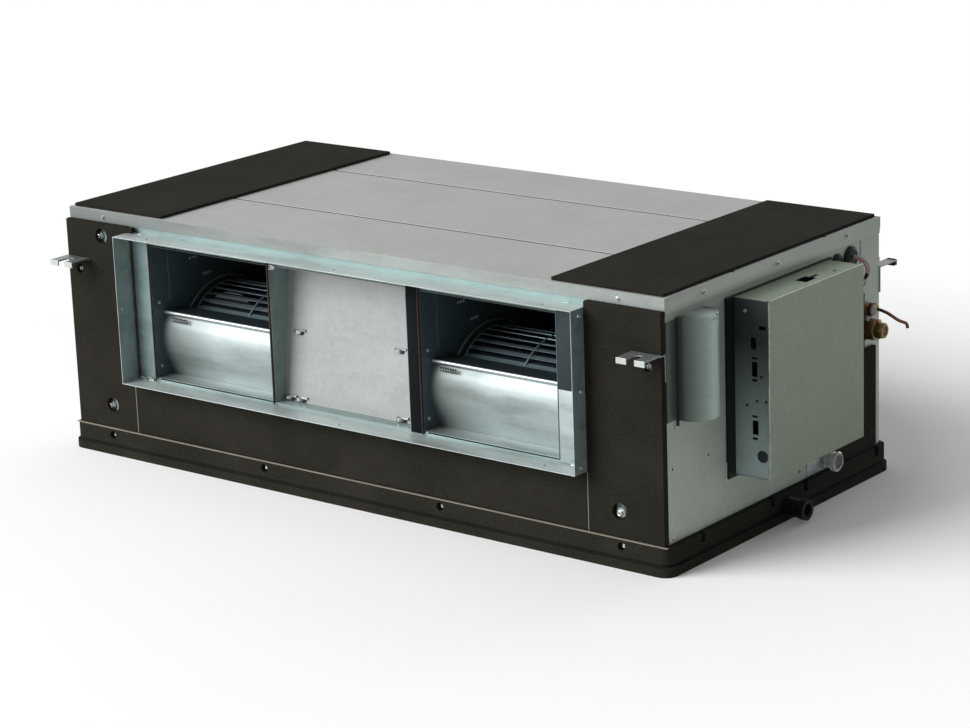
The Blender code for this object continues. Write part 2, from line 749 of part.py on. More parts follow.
for label, centre, outward in zip(("left", "right"), fan_x, (-1, 1)):
    disc("wheel_" + label, centre)
    cage(f"blades_{label}_outer", centre, outward)
    cage(f"blades_{label}_inner", centre, -outward)
shaft_x = (fan_x[0] - hub_length / 2 - shaft_overhang, fan_x[1] + hub_length / 2 + shaft_overhang)
shaft = rod("motor_shaft", shaft_radius, (shaft_x[0] - fan_shift, 0, 0), (shaft_x[1] - fan_shift, 0, 0), "shaft_steel", sides=24)
shaft.location = (fan_shift, axis_y, axis_z)

# Motor between the fans, held in a saddle that stands in the tray
motor_half = motor_length / 2
motor_profile = [(motor_radius * 0.42, motor_half), (motor_radius * 0.9, motor_half * 0.82), (motor_radius, motor_half * 0.7),
                 (motor_radius, -motor_half * 0.7), (motor_radius * 0.9, -motor_half * 0.82),
                 (motor_radius * 0.42, -motor_half), (shaft_radius + gap, -motor_half), (shaft_radius + gap, motor_half)]
motor_place = Matrix.Translation((fan_shift, axis_y, axis_z)) @ along_x
turned("motor_body", motor_profile, motor_place, "motor_paint", steps=28)
saddle_x = (fan_shift - saddle_length / 2, fan_shift + saddle_length / 2)
saddle_y = (axis_y - saddle_width / 2, axis_y + saddle_width / 2)
saddle = box("motor_saddle", saddle_x, saddle_y, (tray_floor + gap, axis_z - motor_radius * 0.35))
band_ring = rod("motor_band", motor_radius + band_wall, (saddle_x[0] + 0.01, axis_y, axis_z), (saddle_x[1] - 0.01, axis_y, axis_z),
                group=cutters, sides=28)
join(saddle, band_ring)
cut(saddle, rod("saddle_bore", motor_radius + gap, (saddle_x[0] - 0.01, axis_y, axis_z), (saddle_x[1] + 0.01, axis_y, axis_z),
                group=cutters, sides=28))
cut(saddle, box("saddle_window", (saddle_x[0] + saddle_sheet, saddle_x[1] - saddle_sheet), (saddle_y[0] - 0.01, saddle_y[1] + 0.01),
                (tray_floor + 0.02, axis_z - motor_radius - band_wall - 0.006), group=cutters))
cut(saddle, box("saddle_tunnel", (saddle_x[0] - 0.01, saddle_x[1] + 0.01), (saddle_y[0] + saddle_sheet * 4, saddle_y[1] - saddle_sheet * 4),
                (tray_floor + 0.02, axis_z - motor_radius - band_wall - 0.006), group=cutters))

# Slab coil leaning over its pan
coil_place_z = tray_floor + pan_wall + 3 * gap
coil_centre = Vector((0.0, coil_y,
                      coil_place_z + (plate_height * math.cos(tilt) + plate_depth * math.sin(tilt)) / 2))
coil_turn = Matrix.Rotation(tilt, 4, "X")
coil_place = Matrix.Translation(coil_centre) @ coil_turn
core = coil_thickness / 2 - fin_proud
fin_count = int(coil_length / fin_pitch)
fin_start = -fin_count * fin_pitch / 2
fin_width = fin_pitch - fin_gap
near = [(fin_start, -core)]
far = [(fin_start, core)]
for i in range(fin_count):
    x = fin_start + (i + 0.5) * fin_pitch
    for line_points, side in ((near, -1), (far, 1)):
        line_points += [(x - fin_width / 2, side * core), (x - fin_width / 2, side * coil_thickness / 2),
                        (x + fin_width / 2, side * coil_thickness / 2), (x + fin_width / 2, side * core)]
near.append((-fin_start, -core))
far.append((-fin_start, core))
bm = bmesh.new()
outline = [bm.verts.new((x, y, -coil_height / 2)) for x, y in near + list(reversed(far))]
face = bm.faces.new(outline)
swept = bmesh.ops.extrude_face_region(bm, geom=[face])
moved = [v for v in swept["geom"] if isinstance(v, bmesh.types.BMVert)]
bmesh.ops.translate(bm, verts=moved, vec=(0, 0, coil_height))
fins = as_object(bm, "coil_fins", "fin_aluminium")
fins.matrix_world = coil_place
half_fins = -fin_start
for label, side in (("left", -1), ("right", 1)):
    inner = side * (half_fins + gap)
    outer = side * (half_fins + gap + end_plate)
    plate = box("coil_plate_" + label, tuple(sorted((inner, outer))), (-plate_depth / 2, plate_depth / 2),
                (-plate_height / 2, plate_height / 2))
    plate.matrix_world = coil_place
    for row in range(bend_rows):
        z = -plate_height / 2 + plate_height * (row + 0.5) / bend_rows
        path = []
        for a in steps(0.0, 180.0, 4):
            turn = math.radians(a)
            path.append((outer + side * (bend_radius * math.sin(turn) * 1.1 + 0.004), bend_radius * math.cos(turn), z))
        path = [(outer - side * end_plate * 0.45, bend_radius, z)] + path + [(outer - side * end_plate * 0.45, -bend_radius, z)]
        bend = tube(f"bend_{label}_{row}", path, bend_tube, None, group=cutters)
        bend.matrix_world = coil_place
        join(plate, bend)

pan_x = (left + pan_inset, right - pan_inset)
pan = box("drain_pan", pan_x, pan_y, (tray_floor + gap, tray_floor + pan_height), "pan_white")
cut(pan, box("pan_hollow", (pan_x[0] + pan_wall, pan_x[1] - pan_wall), (pan_y[0] + pan_wall, pan_y[1] - pan_wall),
             (tray_floor + pan_wall, tray_floor + pan_height + 0.01), "pan_white", cutters))
cut(pan, rod("pan_drain_hole", drain_bore, (pan_x[1] - 0.02, drain_y, drain_z), (pan_x[1] + 0.01, drain_y, drain_z),
             group=cutters, sides=24))

# Drain spout from the pan through the tray, and a clear inspection stub above it
spout_start = pan_x[1] + gap
spout_end = tray_x[1] + drain_reach
spout_length = spout_end - spout_start
spout_profile = [(drain_radius, 0.0), (drain_radius, spout_length - 0.016), (drain_flare, spout_length - 0.009),
                 (drain_flare, spout_length), (drain_bore, spout_length), (drain_bore, 0.0)]
turned("drain_spout", list(reversed(spout_profile)), Matrix.Translation((spout_start, drain_y, drain_z)) @ along_x,
       "black_plastic", steps=24)
clear_start = panel_in - 0.004
clear_length = panel_out + clear_reach - clear_start
clear_bore = clear_radius - 0.0016
clear_profile = [(clear_radius, 0.0), (clear_radius, clear_length - 0.012), (clear_radius * 1.25, clear_length - 0.008),
                 (clear_radius * 1.25, clear_length - 0.001), (clear_radius * 1.15, clear_length),
                 (clear_bore, clear_length), (clear_bore, 0.0)]
turned("clear_stub", list(reversed(clear_profile)), Matrix.Translation((clear_start, clear_y, clear_z)) @ along_x,
       "clear_plastic", steps=24)

# Foam sheet on the right face behind the electric box, with a cut corner round the clear stub
plate_rear = ebox_front + ebox_length + back_plate_lead * 0.6
foam_face = panel_out + gap
pipe_plate_y = (min(gas_y, liquid_y) - pipe_plate_before, max(gas_y, liquid_y) + pipe_plate_behind)
pipe_plate_z = (min(gas_z, liquid_z) - pipe_plate_below, max(gas_z, liquid_z) + pipe_plate_above)
foam_top_edge = pipe_plate_z[0] - line - gap
side_outline = [(side_foam_rear, 0.002), (clear_depth + 0.034, 0.002), (clear_depth + 0.020, clear_height + 0.012),
                (clear_depth - 0.012, clear_height + 0.018), (clear_depth - 0.012, ebox_bottom - back_plate_drop - 0.002),
                (plate_rear + 0.002, ebox_bottom - back_plate_drop - 0.002), (plate_rear + 0.002, foam_top_edge),
                (side_foam_rear, foam_top_edge)]
flat_plate("side_foam", [(front + y, line + z) for y, z in side_outline], [], foam_face, foam_face + 0.006, "foam")

# Refrigerant pipes leaving through the right panel
coil_face = half_fins + 2 * gap + end_plate
gas_from = coil_place @ Vector((coil_face, *gas_port))
liquid_from = coil_place @ Vector((coil_face, *liquid_port))
gas_x = panel_in - gas_inset
liquid_x = panel_in - liquid_inset
gas_end = panel_out + gas_reach
tube("gas_pipe", rounded_path([gas_from, (gas_x, gas_from.y, gas_from.z), (gas_x, gas_y, gas_z), (gas_end, gas_y, gas_z)], gas_bend),
     gas_radius, "copper", 3)
nut_x = panel_out + nut_start
tube("liquid_pipe", rounded_path([liquid_from, (liquid_x, liquid_from.y, liquid_from.z), (liquid_x, liquid_y, liquid_from.z),
                                  (liquid_x, liquid_y, liquid_z), (nut_x + nut_length, liquid_y, liquid_z)], liquid_bend),
     liquid_radius, "copper", 2)
cap = rod("gas_cap", gas_radius + 0.0016, (gas_end - 0.012, gas_y, gas_z), (gas_end + 0.002, gas_y, gas_z), "black_plastic")
cut(cap, rod("gas_cap_bore", gas_radius + gap, (gas_end - 0.02, gas_y, gas_z), (gas_end + gap, gas_y, gas_z), group=cutters))
nut = rod("liquid_nut", nut_radius, (nut_x, liquid_y, liquid_z), (nut_x + nut_length, liquid_y, liquid_z), "brass", sides=6)
threads = rod("nut_threads", nut_radius * 0.68, (nut_x + nut_length - 0.002, liquid_y, liquid_z),
              (nut_x + nut_length + 0.009, liquid_y, liquid_z), group=cutters, sides=24)
join(nut, threads)
cut(nut, rod("nut_bore", liquid_radius + gap, (nut_x - 0.01, liquid_y, liquid_z), (nut_x + nut_length + 0.02, liquid_y, liquid_z),
             group=cutters, sides=24))
union_x = panel_out + 3 * gap
service_union = rod("service_union", union_radius, (panel_out + gap, service_y, service_z),
                    (union_x + union_length, service_y, service_z), "brass", sides=6)
cut(service_union, rod("union_bore", service_radius + gap, (panel_out - 0.01, service_y, service_z),
                       (union_x + union_length + 0.01, service_y, service_z), group=cutters, sides=16))
hook = panel_out + service_reach
tube("service_tube", rounded_path([(panel_in - 0.006, service_y, service_z), (hook, service_y, service_z),
                                   (hook, service_y - 0.001, service_z - 0.009)], 0.006), service_radius, "copper", 2)
pipe_plate = box("pipe_plate", (foam_face, foam_face + 0.003), pipe_plate_y, pipe_plate_z, "rubber")
for label, radius, y, z in (("gas", gas_radius, gas_y, gas_z), ("liquid", liquid_radius, liquid_y, liquid_z)):
    cut(pipe_plate, rod("pipe_plate_" + label, radius + gap, (foam_face - 0.01, y, z), (foam_face + 0.01, y, z),
                        group=cutters, sides=24))

# Grommets and the sensor lead that leaves the larger one and enters the electric box
ebox_y = (front + ebox_front, front + ebox_front + ebox_length)
ebox_z = (line + ebox_bottom, line + ebox_bottom + ebox_height)
back_x = (panel_out + gap, panel_out + gap + back_plate)
tray_start = back_x[1] + gap
tray_end = tray_start + ebox_depth
lead_x = tray_start + ebox_depth * 0.5
lead_z = ebox_z[1] - 0.055
for label, radius, y in (("small", small_grommet, small_y), ("large", large_grommet, large_y)):
    bore = lead_radius + gap
    neck = radius * grommet_neck - gap
    profile = [(neck, -panel_sheet - 0.002), (neck, gap), (radius, gap), (radius, grommet_flange),
               (radius * grommet_crown, grommet_proud), (bore, grommet_proud), (bore, -panel_sheet - 0.002)]
    turned("grommet_" + label, list(reversed(profile)), Matrix.Translation((panel_out, y, grommet_z)) @ along_x,
           "rubber", steps=20)
lead_corners = [(panel_in - 0.004, large_y, grommet_z), (panel_out + 0.034, large_y, grommet_z),
                (panel_out + 0.054, large_y + 0.006, grommet_z - 0.010), (panel_out + 0.050, large_y - 0.006, lead_z + 0.014),
                (lead_x, large_y - 0.026, lead_z), (lead_x, ebox_y[1] - 0.006, lead_z)]
tube("sensor_lead", rounded_path(lead_corners, 0.016, 4), lead_radius, "lead_pink", 2)

# Electric box on a black back plate
back = box("ebox_back_plate", back_x, (ebox_y[0] - back_plate_lead, ebox_y[1] + back_plate_lead * 0.6),
           (ebox_z[0] - back_plate_drop, ebox_z[1] + back_plate_drop * 0.5), "black_plastic")
ebox = box("ebox_tray", (tray_start, tray_end), ebox_y, ebox_z)
cut(ebox, box("ebox_hollow", (tray_start + ebox_sheet, tray_end + 0.01), (ebox_y[0] + ebox_sheet, ebox_y[1] - ebox_sheet),
              (ebox_z[0] + ebox_sheet, ebox_z[1] - ebox_sheet), group=cutters))
cut(ebox, rod("ebox_lead_hole", lead_radius + gap, (lead_x, ebox_y[1] - 0.01, lead_z), (lead_x, ebox_y[1] + 0.01, lead_z),
              group=cutters, sides=16))
for number, (x_low, x_high, z_low, z_high) in enumerate(end_slots):
    cut(ebox, box(f"end_slot_{number}", (tray_start + x_low, tray_start + x_high), (ebox_y[0] - 0.01, ebox_y[0] + 0.01),
                  (ebox_z[0] + z_low, ebox_z[0] + z_high), group=cutters))
oval_x, oval_z, oval_width, oval_height = end_oval
cut(ebox, box("end_oval", (tray_start + oval_x - oval_width / 2, tray_start + oval_x + oval_width / 2), (ebox_y[0] - 0.01, ebox_y[0] + 0.01),
              (ebox_z[0] + oval_z - oval_height / 2, ebox_z[0] + oval_z + oval_height / 2), group=cutters,
              corner=oval_width * 0.48, segments=4, axis="Y"))
for number, (x_low, x_high, y_low, y_high) in enumerate(top_openings):
    cut(ebox, box(f"top_opening_{number}", (tray_start + x_low, tray_start + x_high), (ebox_y[0] + y_low, ebox_y[0] + y_high),
                  (ebox_z[1] - 0.01, ebox_z[1] + 0.01), group=cutters))
cover_grow = ebox_sheet + gap
cover_x = (tray_end - cover_rim, tray_end + gap + ebox_sheet)
cover = box("ebox_cover", cover_x, (ebox_y[0] - cover_grow, ebox_y[1] + cover_grow), (ebox_z[0] - cover_grow, ebox_z[1] + cover_grow))
cut(cover, box("cover_hollow", (cover_x[0] - 0.01, tray_end + gap), (ebox_y[0] - gap, ebox_y[1] + gap),
               (ebox_z[0] - gap, ebox_z[1] + gap), group=cutters))
floor_x = tray_start + ebox_sheet + gap
board_x = (floor_x + standoff, floor_x + standoff + board_thickness)
board_y = (ebox_y[0] + board_margin, ebox_y[1] - board_margin * 3)
board_z = (ebox_z[0] + board_margin * 3, ebox_z[1] - board_margin)
board = box("control_board", board_x, board_y, board_z, "board_green")
for i in range(2):
    for j in range(2):
        y = board_y[0] + standoff_inset + i * (board_y[1] - board_y[0] - 2 * standoff_inset)
        z = board_z[0] + standoff_inset + j * (board_z[1] - board_z[0] - 2 * standoff_inset)
        join(board, rod(f"standoff_{i}{j}", standoff_radius, (floor_x, y, z), (board_x[1] + 0.002, y, z), group=cutters, sides=8))
board_size = (board_y[1] - board_y[0], board_z[1] - board_z[0])
for number, (y, z, width, height, depth) in enumerate(component_shares):
    y_low = board_y[0] + y * board_size[0]
    z_low = board_z[0] + z * board_size[1]
    join(board, box(f"component_{number}", (board_x[1] - 0.0008, board_x[1] + depth * component_height),
                    (y_low, y_low + width * board_size[0]), (z_low, z_low + height * board_size[1]), group=cutters))
block_z = (ebox_z[0] + 0.014, ebox_z[0] + 0.044)
block_y = (ebox_y[0] + 0.030, ebox_y[0] + 0.130)
block = box("terminal_block", (floor_x, floor_x + 0.022), block_y, block_z, "black_plastic")
ways = 6
pitch = (block_y[1] - block_y[0]) / ways
for i in range(ways):
    y = block_y[0] + (i + 0.5) * pitch
    cut(block, box(f"terminal_way_{i}", (floor_x + 0.012, floor_x + 0.03), (y - pitch * 0.36, y + pitch * 0.36),
                   (block_z[0] - 0.01, block_z[0] + 0.012), group=cutters))
transformer = box("transformer", (floor_x, floor_x + 0.030), (ebox_y[1] - 0.056, ebox_y[1] - 0.014),
                  (ebox_z[0] + 0.020, ebox_z[0] + 0.072), "transformer_iron")
join(transformer, box("transformer_coil", (floor_x + 0.004, floor_x + 0.040), (ebox_y[1] - 0.050, ebox_y[1] - 0.020),
                      (ebox_z[0] + 0.030, ebox_z[0] + 0.062), group=cutters))

# Capacitor under its half-round cover
cap_y = front + capacitor_cover_front + capacitor_cover_width / 2
cap_z = (line + capacitor_cover_bottom, line + capacitor_cover_bottom + capacitor_cover_height)


def half_round(shrink):
    half = capacitor_cover_width / 2 - shrink
    reach = capacitor_cover_depth - shrink - capacitor_cover_flat
    points = [(-0.02 if shrink else 0.0, -half), (-0.02 if shrink else 0.0, half)]
    for a in steps(90.0, -90.0, 14):
        turn = math.radians(a)
        points.append((capacitor_cover_flat + reach * math.cos(turn), half * math.sin(turn)))
    return points


def upright(name, outline, zs, material="galvanised", group=None):
    """An outline in X and Y raised between two heights."""
    bm = bmesh.new()
    verts = [bm.verts.new((foam_face + x, cap_y + y, zs[0])) for x, y in outline]
    face = bm.faces.new(verts)
    swept = bmesh.ops.extrude_face_region(bm, geom=[face])
    moved = [v for v in swept["geom"] if isinstance(v, bmesh.types.BMVert)]
    bmesh.ops.translate(bm, verts=moved, vec=(0, 0, zs[1] - zs[0]))
    return as_object(bm, name, material, group, smooth=True)


cap_cover = upright("capacitor_cover", half_round(0.0), cap_z)
cut(cap_cover, upright("capacitor_hollow", half_round(ebox_sheet), (cap_z[0] + ebox_sheet, cap_z[1] - ebox_sheet), group=cutters))
can_z = (cap_z[0] + ebox_sheet + gap, cap_z[0] + ebox_sheet + gap + capacitor_length)
can_x = foam_face + capacitor_radius
rod("capacitor", capacitor_radius, (can_x, cap_y, can_z[0]), (can_x, cap_y, can_z[1]), "capacitor_white", sides=28)
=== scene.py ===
import bpy
import bmesh
import json
import math
from mathutils import Matrix, Vector


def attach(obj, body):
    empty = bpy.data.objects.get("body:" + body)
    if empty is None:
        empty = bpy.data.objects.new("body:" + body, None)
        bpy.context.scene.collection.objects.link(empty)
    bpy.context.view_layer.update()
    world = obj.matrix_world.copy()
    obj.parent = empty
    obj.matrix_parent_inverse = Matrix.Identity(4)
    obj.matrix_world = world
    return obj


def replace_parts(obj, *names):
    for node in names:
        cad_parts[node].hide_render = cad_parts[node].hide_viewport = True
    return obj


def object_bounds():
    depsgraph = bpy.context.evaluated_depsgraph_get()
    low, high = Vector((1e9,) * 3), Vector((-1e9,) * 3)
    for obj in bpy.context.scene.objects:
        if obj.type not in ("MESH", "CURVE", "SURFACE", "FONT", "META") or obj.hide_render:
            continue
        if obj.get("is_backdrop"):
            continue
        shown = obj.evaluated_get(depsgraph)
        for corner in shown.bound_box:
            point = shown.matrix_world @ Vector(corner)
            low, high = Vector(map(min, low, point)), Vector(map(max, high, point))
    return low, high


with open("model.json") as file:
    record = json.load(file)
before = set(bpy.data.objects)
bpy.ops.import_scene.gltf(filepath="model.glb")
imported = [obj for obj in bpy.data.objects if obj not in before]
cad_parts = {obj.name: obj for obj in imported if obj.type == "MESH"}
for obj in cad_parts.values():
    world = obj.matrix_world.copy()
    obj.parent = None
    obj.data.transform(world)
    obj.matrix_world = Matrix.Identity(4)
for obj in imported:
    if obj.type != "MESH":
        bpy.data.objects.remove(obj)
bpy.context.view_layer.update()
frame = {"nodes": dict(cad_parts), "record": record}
nodes = frame["nodes"]
print("frame:", len(nodes), "nodes")


def linked(name, data):
    item = bpy.data.objects.new(name, data)
    bpy.context.scene.collection.objects.link(item)
    return item


def aimed(stand, aim):
    facing = (Vector(aim) - Vector(stand)).to_track_quat("-Z", "Y")
    return Matrix.Translation(stand) @ facing.to_matrix().to_4x4()


# the view of the photograph
camera = {"stand": (2.9368, -3.6156, 1.4759), "aim": (0.0907, -0.0708, 0.1885), "roll": -0.0367,
          "lens": 109.93, "clip": (0.05, 60)}
cameraData = bpy.data.cameras.new("camera")
cameraData.lens = camera["lens"]
cameraData.clip_start, cameraData.clip_end = camera["clip"]
cameraItem = linked("camera", cameraData)
cameraItem.matrix_world = aimed(camera["stand"], camera["aim"]) @ Matrix.Rotation(camera["roll"], 4, "Z")
bpy.context.scene.camera = cameraItem


class Signal:
    # a socket that can stand in a sum
    def __init__(self, finish, socket):
        self.finish, self.socket = finish, socket

    def __add__(self, other):
        return self.finish.node("ShaderNodeMath", {"operation": "ADD"}, {0: self, 1: other})

    def __mul__(self, other):
        return self.finish.node("ShaderNodeMath", {"operation": "MULTIPLY"}, {0: self, 1: other})


class Finish:
    def __init__(self, name, colour, roughness, metallic=0.0, **fixed):
        self.material = bpy.data.materials.new(name)
        self.material.use_nodes = True
        self.tree = self.material.node_tree
        self.shader = self.tree.nodes["Principled BSDF"]
        start = {"Base Color": (*colour, 1.0), "Roughness": roughness, "Metallic": metallic, **fixed}
        for socket, value in start.items():
            self.shader.inputs[socket].default_value = value
        self.where = self.node("ShaderNodeTexCoord", output="Object")

    def node(self, kind, settings=None, sockets=None, output=0):
        made = self.tree.nodes.new(kind)
        for key, value in (settings or {}).items():
            setattr(made, key, value)
        for key, value in (sockets or {}).items():
            if isinstance(value, Signal):
                self.tree.links.new(value.socket, made.inputs[key])
            else:
                made.inputs[key].default_value = value
        return Signal(self, made.outputs[output])

    def axis(self, number):
        return self.node("ShaderNodeSeparateXYZ", sockets={"Vector": self.where}, output=number)

    def noise(self, scale, detail=2.0, rough=0.5, stretch=(1, 1, 1)):
        spot = self.node("ShaderNodeMapping", sockets={"Vector": self.where, "Scale": stretch})
        return self.node("ShaderNodeTexNoise",
                         sockets={"Vector": spot, "Scale": scale, "Detail": detail, "Roughness": rough})

    def cells(self, scale, output="Color"):
        return self.node("ShaderNodeTexVoronoi", sockets={"Vector": self.where, "Scale": scale}, output=output)

    def spread(self, value, low, high, first=0.0, last=1.0):
        return self.node("ShaderNodeMapRange", {"clamp": True},
                         {"Value": value, "From Min": low, "From Max": high, "To Min": first, "To Max": last})

    # a blend of two colours, each a signal or a tuple
    def mix(self, factor, first, second):
        made = self.tree.nodes.new("ShaderNodeMix")
        made.data_type = "RGBA"
        for slot, value in ((0, factor), (6, first), (7, second)):
            if isinstance(value, Signal):
                self.tree.links.new(value.socket, made.inputs[slot])
            else:
                made.inputs[slot].default_value = (*value, 1.0)
        return Signal(self, made.outputs[2])

    def feed(self, socket, value):
        self.tree.links.new(value.socket, self.shader.inputs[socket])

    def relief(self, height, strength, distance):
        bump = self.node("ShaderNodeBump", sockets={"Height": height, "Strength": strength, "Distance": distance})
        self.feed("Normal", bump)


def tinted(colour, factor):
    return tuple(min(1.0, part * factor) for part in colour)


# zinc sheet: faint spangle, cloudy handling marks and a slight wave that bends its reflections.
# fade paints shade along an axis: (axis, where full, where dark, tone when dark)
zincGrain = {"clouds": (9, 4, 0.6), "mottle": (85, 3, 0.6), "crystals": 150, "grain": (1400, 2), "waves": (7, 1),
             "mottled": 0.8, "tones": (0.35, 1.2), "dull": 0.82, "lit": 1.14,
             "runs": (16, 3, 0.55, (0.35, 1.6, 1.6)), "highlightStreakBands": ((0.4, 0.66, 1.75), (0.46, 0.3, 0.55)),
             "rough": (0.1, 0.05, 0.06), "lift": (0.006, 0.01), "relief": (0.5, 0.004)}


def zincFinish(name, colour, roughness, spangle, cloud, metallic=0.3, wave=0.3, fade=(), shine=0.25, highlightStreak=0.0):
    finish = Finish(name, colour, roughness, metallic, **{"Specular IOR Level": shine})
    clouds = finish.noise(*zincGrain["clouds"])
    mottle = finish.noise(*zincGrain["mottle"])
    crystals = finish.cells(zincGrain["crystals"])
    grain = finish.noise(*zincGrain["grain"])
    low, high = zincGrain["tones"]
    marks = clouds * cloud + mottle * (cloud * zincGrain["mottled"]) + crystals * spangle
    surface = finish.mix(finish.spread(marks, low * cloud, high * cloud + spangle),
                         tinted(colour, zincGrain["dull"]), tinted(colour, zincGrain["lit"]))
    # painted highlight: noise stretched along X lightens and darkens the colour in bands, standing in for streaky
    # reflections
    if highlightStreak:
        runs = finish.noise(*zincGrain["runs"])
        for low, high, factor in zincGrain["highlightStreakBands"]:
            surface = finish.mix(finish.spread(runs, low, high, 0.0, highlightStreak), surface, tinted(colour, factor))
    # painted shade: the colour darkens along an axis
    for axis, full, dark, least in fade:
        surface = finish.mix(finish.spread(finish.axis(axis), full, dark), surface, tinted(colour, least))
    finish.feed("Base Color", surface)
    cloudy, spangled, mottled = zincGrain["rough"]
    finish.feed("Roughness", clouds * cloudy + crystals * spangled + mottle * mottled + (roughness - cloudy))
    fine, coarse = zincGrain["lift"]
    finish.relief(finish.noise(*zincGrain["waves"]) * wave + grain * fine + crystals * coarse, *zincGrain["relief"])
    return finish.material


# insulating foam: fine closed cells, slightly dusty
foamGrain = {"roughness": 0.92, "shine": 0.04, "patches": (11, 4, 0.6), "specks": (420, 3, 0.7), "pits": 700,
             "shares": (0.3, 0.7), "tones": (0.36, 0.66), "dull": 0.55, "lit": 1.5,
             "rough": (0.3, 0.7, 0.86, 0.97), "lift": (0.6, 0.5), "relief": (0.35, 0.0006)}


def foamFinish(name, colour):
    finish = Finish(name, colour, foamGrain["roughness"], **{"Specular IOR Level": foamGrain["shine"]})
    patches = finish.noise(*foamGrain["patches"])
    specks = finish.noise(*foamGrain["specks"])
    pits = finish.cells(foamGrain["pits"], "Distance")
    patchy, speckled = foamGrain["shares"]
    tone = finish.spread(patches * patchy + specks * speckled, *foamGrain["tones"])
    finish.feed("Base Color", finish.mix(tone, tinted(colour, foamGrain["dull"]), tinted(colour, foamGrain["lit"])))
    finish.feed("Roughness", finish.spread(specks, *foamGrain["rough"]))
    raised, pitted = foamGrain["lift"]
    finish.relief(specks * raised + pits * pitted, *foamGrain["relief"])
    return finish.material


# moulded plastic with a fine spark-eroded grain and faint dust
plasticGrain = {"dust": (28, 4, 0.65), "grain": (1800, 2), "tones": (0.35, 0.75), "dull": 0.88, "lit": 1.15,
                "rough": (0.3, 0.7), "smoother": 0.06, "rougher": 0.08, "relief": (0.25, 0.0003)}


def plasticFinish(name, colour, roughness, **fixed):
    finish = Finish(name, colour, roughness, **fixed)
    dust = finish.noise(*plasticGrain["dust"])
    grain = finish.noise(*plasticGrain["grain"])
    tone = finish.spread(dust, *plasticGrain["tones"])
    finish.feed("Base Color",
                finish.mix(tone, tinted(colour, plasticGrain["dull"]), tinted(colour, plasticGrain["lit"])))
    finish.feed("Roughness", finish.spread(dust, *plasticGrain["rough"], roughness - plasticGrain["smoother"],
                                           roughness + plasticGrain["rougher"]))
    finish.relief(grain, *plasticGrain["relief"])
    return finish.material


# bare metal with rubbed patches; stain is the tone of its tarnish
bareGrain = {"patches": (60, 4, 0.65), "scratches": (300, 2, 0.5, (1, 1, 14)), "tones": (0.42, 0.72),
             "patchy": 0.22, "scratched": 0.1, "smoother": 0.14, "relief": (0.2, 0.0002)}


def bareFinish(name, colour, roughness, stain, metallic=1.0):
    finish = Finish(name, colour, roughness, metallic)
    patches = finish.noise(*bareGrain["patches"])
    scratches = finish.noise(*bareGrain["scratches"])
    finish.feed("Base Color", finish.mix(finish.spread(patches, *bareGrain["tones"]), colour, stain))
    finish.feed("Roughness", patches * bareGrain["patchy"] + scratches * bareGrain["scratched"]
                + (roughness - bareGrain["smoother"]))
    finish.relief(scratches, *bareGrain["relief"])
    return finish.material


# the control board, with its tracks as a brick pattern
board = {"dark": (0.03, 0.16, 0.07), "light": (0.06, 0.26, 0.12), "roughness": 0.45, "scale": 90.0,
         "tones": (0.2, 0.8), "relief": (0.3, 0.0002), "factorOutput": 1}


def boardFinish(name):
    finish = Finish(name, board["dark"], board["roughness"])
    tracks = finish.node("ShaderNodeTexBrick", sockets={"Vector": finish.where, "Scale": board["scale"]},
                         output=board["factorOutput"])
    finish.feed("Base Color", finish.mix(finish.spread(tracks, *board["tones"]), board["dark"], board["light"]))
    finish.relief(tracks, *board["relief"])
    return finish.material


# the coil's fins, slightly bent and dusty
fin = {"colour": (0.46, 0.48, 0.5), "roughness": 0.42, "metallic": 0.7, "bends": (35, 3, 0.6), "dust": (9, 4, 0.6),
       "tones": (0.35, 0.7), "dark": (0.4, 0.42, 0.44), "light": (0.55, 0.57, 0.58), "rough": (0.2, 0.32),
       "relief": (0.5, 0.001)}


def finFinish(name):
    finish = Finish(name, fin["colour"], fin["roughness"], fin["metallic"])
    bends = finish.noise(*fin["bends"])
    dust = finish.noise(*fin["dust"])
    finish.feed("Base Color", finish.mix(finish.spread(dust, *fin["tones"]), fin["dark"], fin["light"]))
    bent, least = fin["rough"]
    finish.feed("Roughness", bends * bent + least)
    finish.relief(bends, *fin["relief"])
    return finish.material
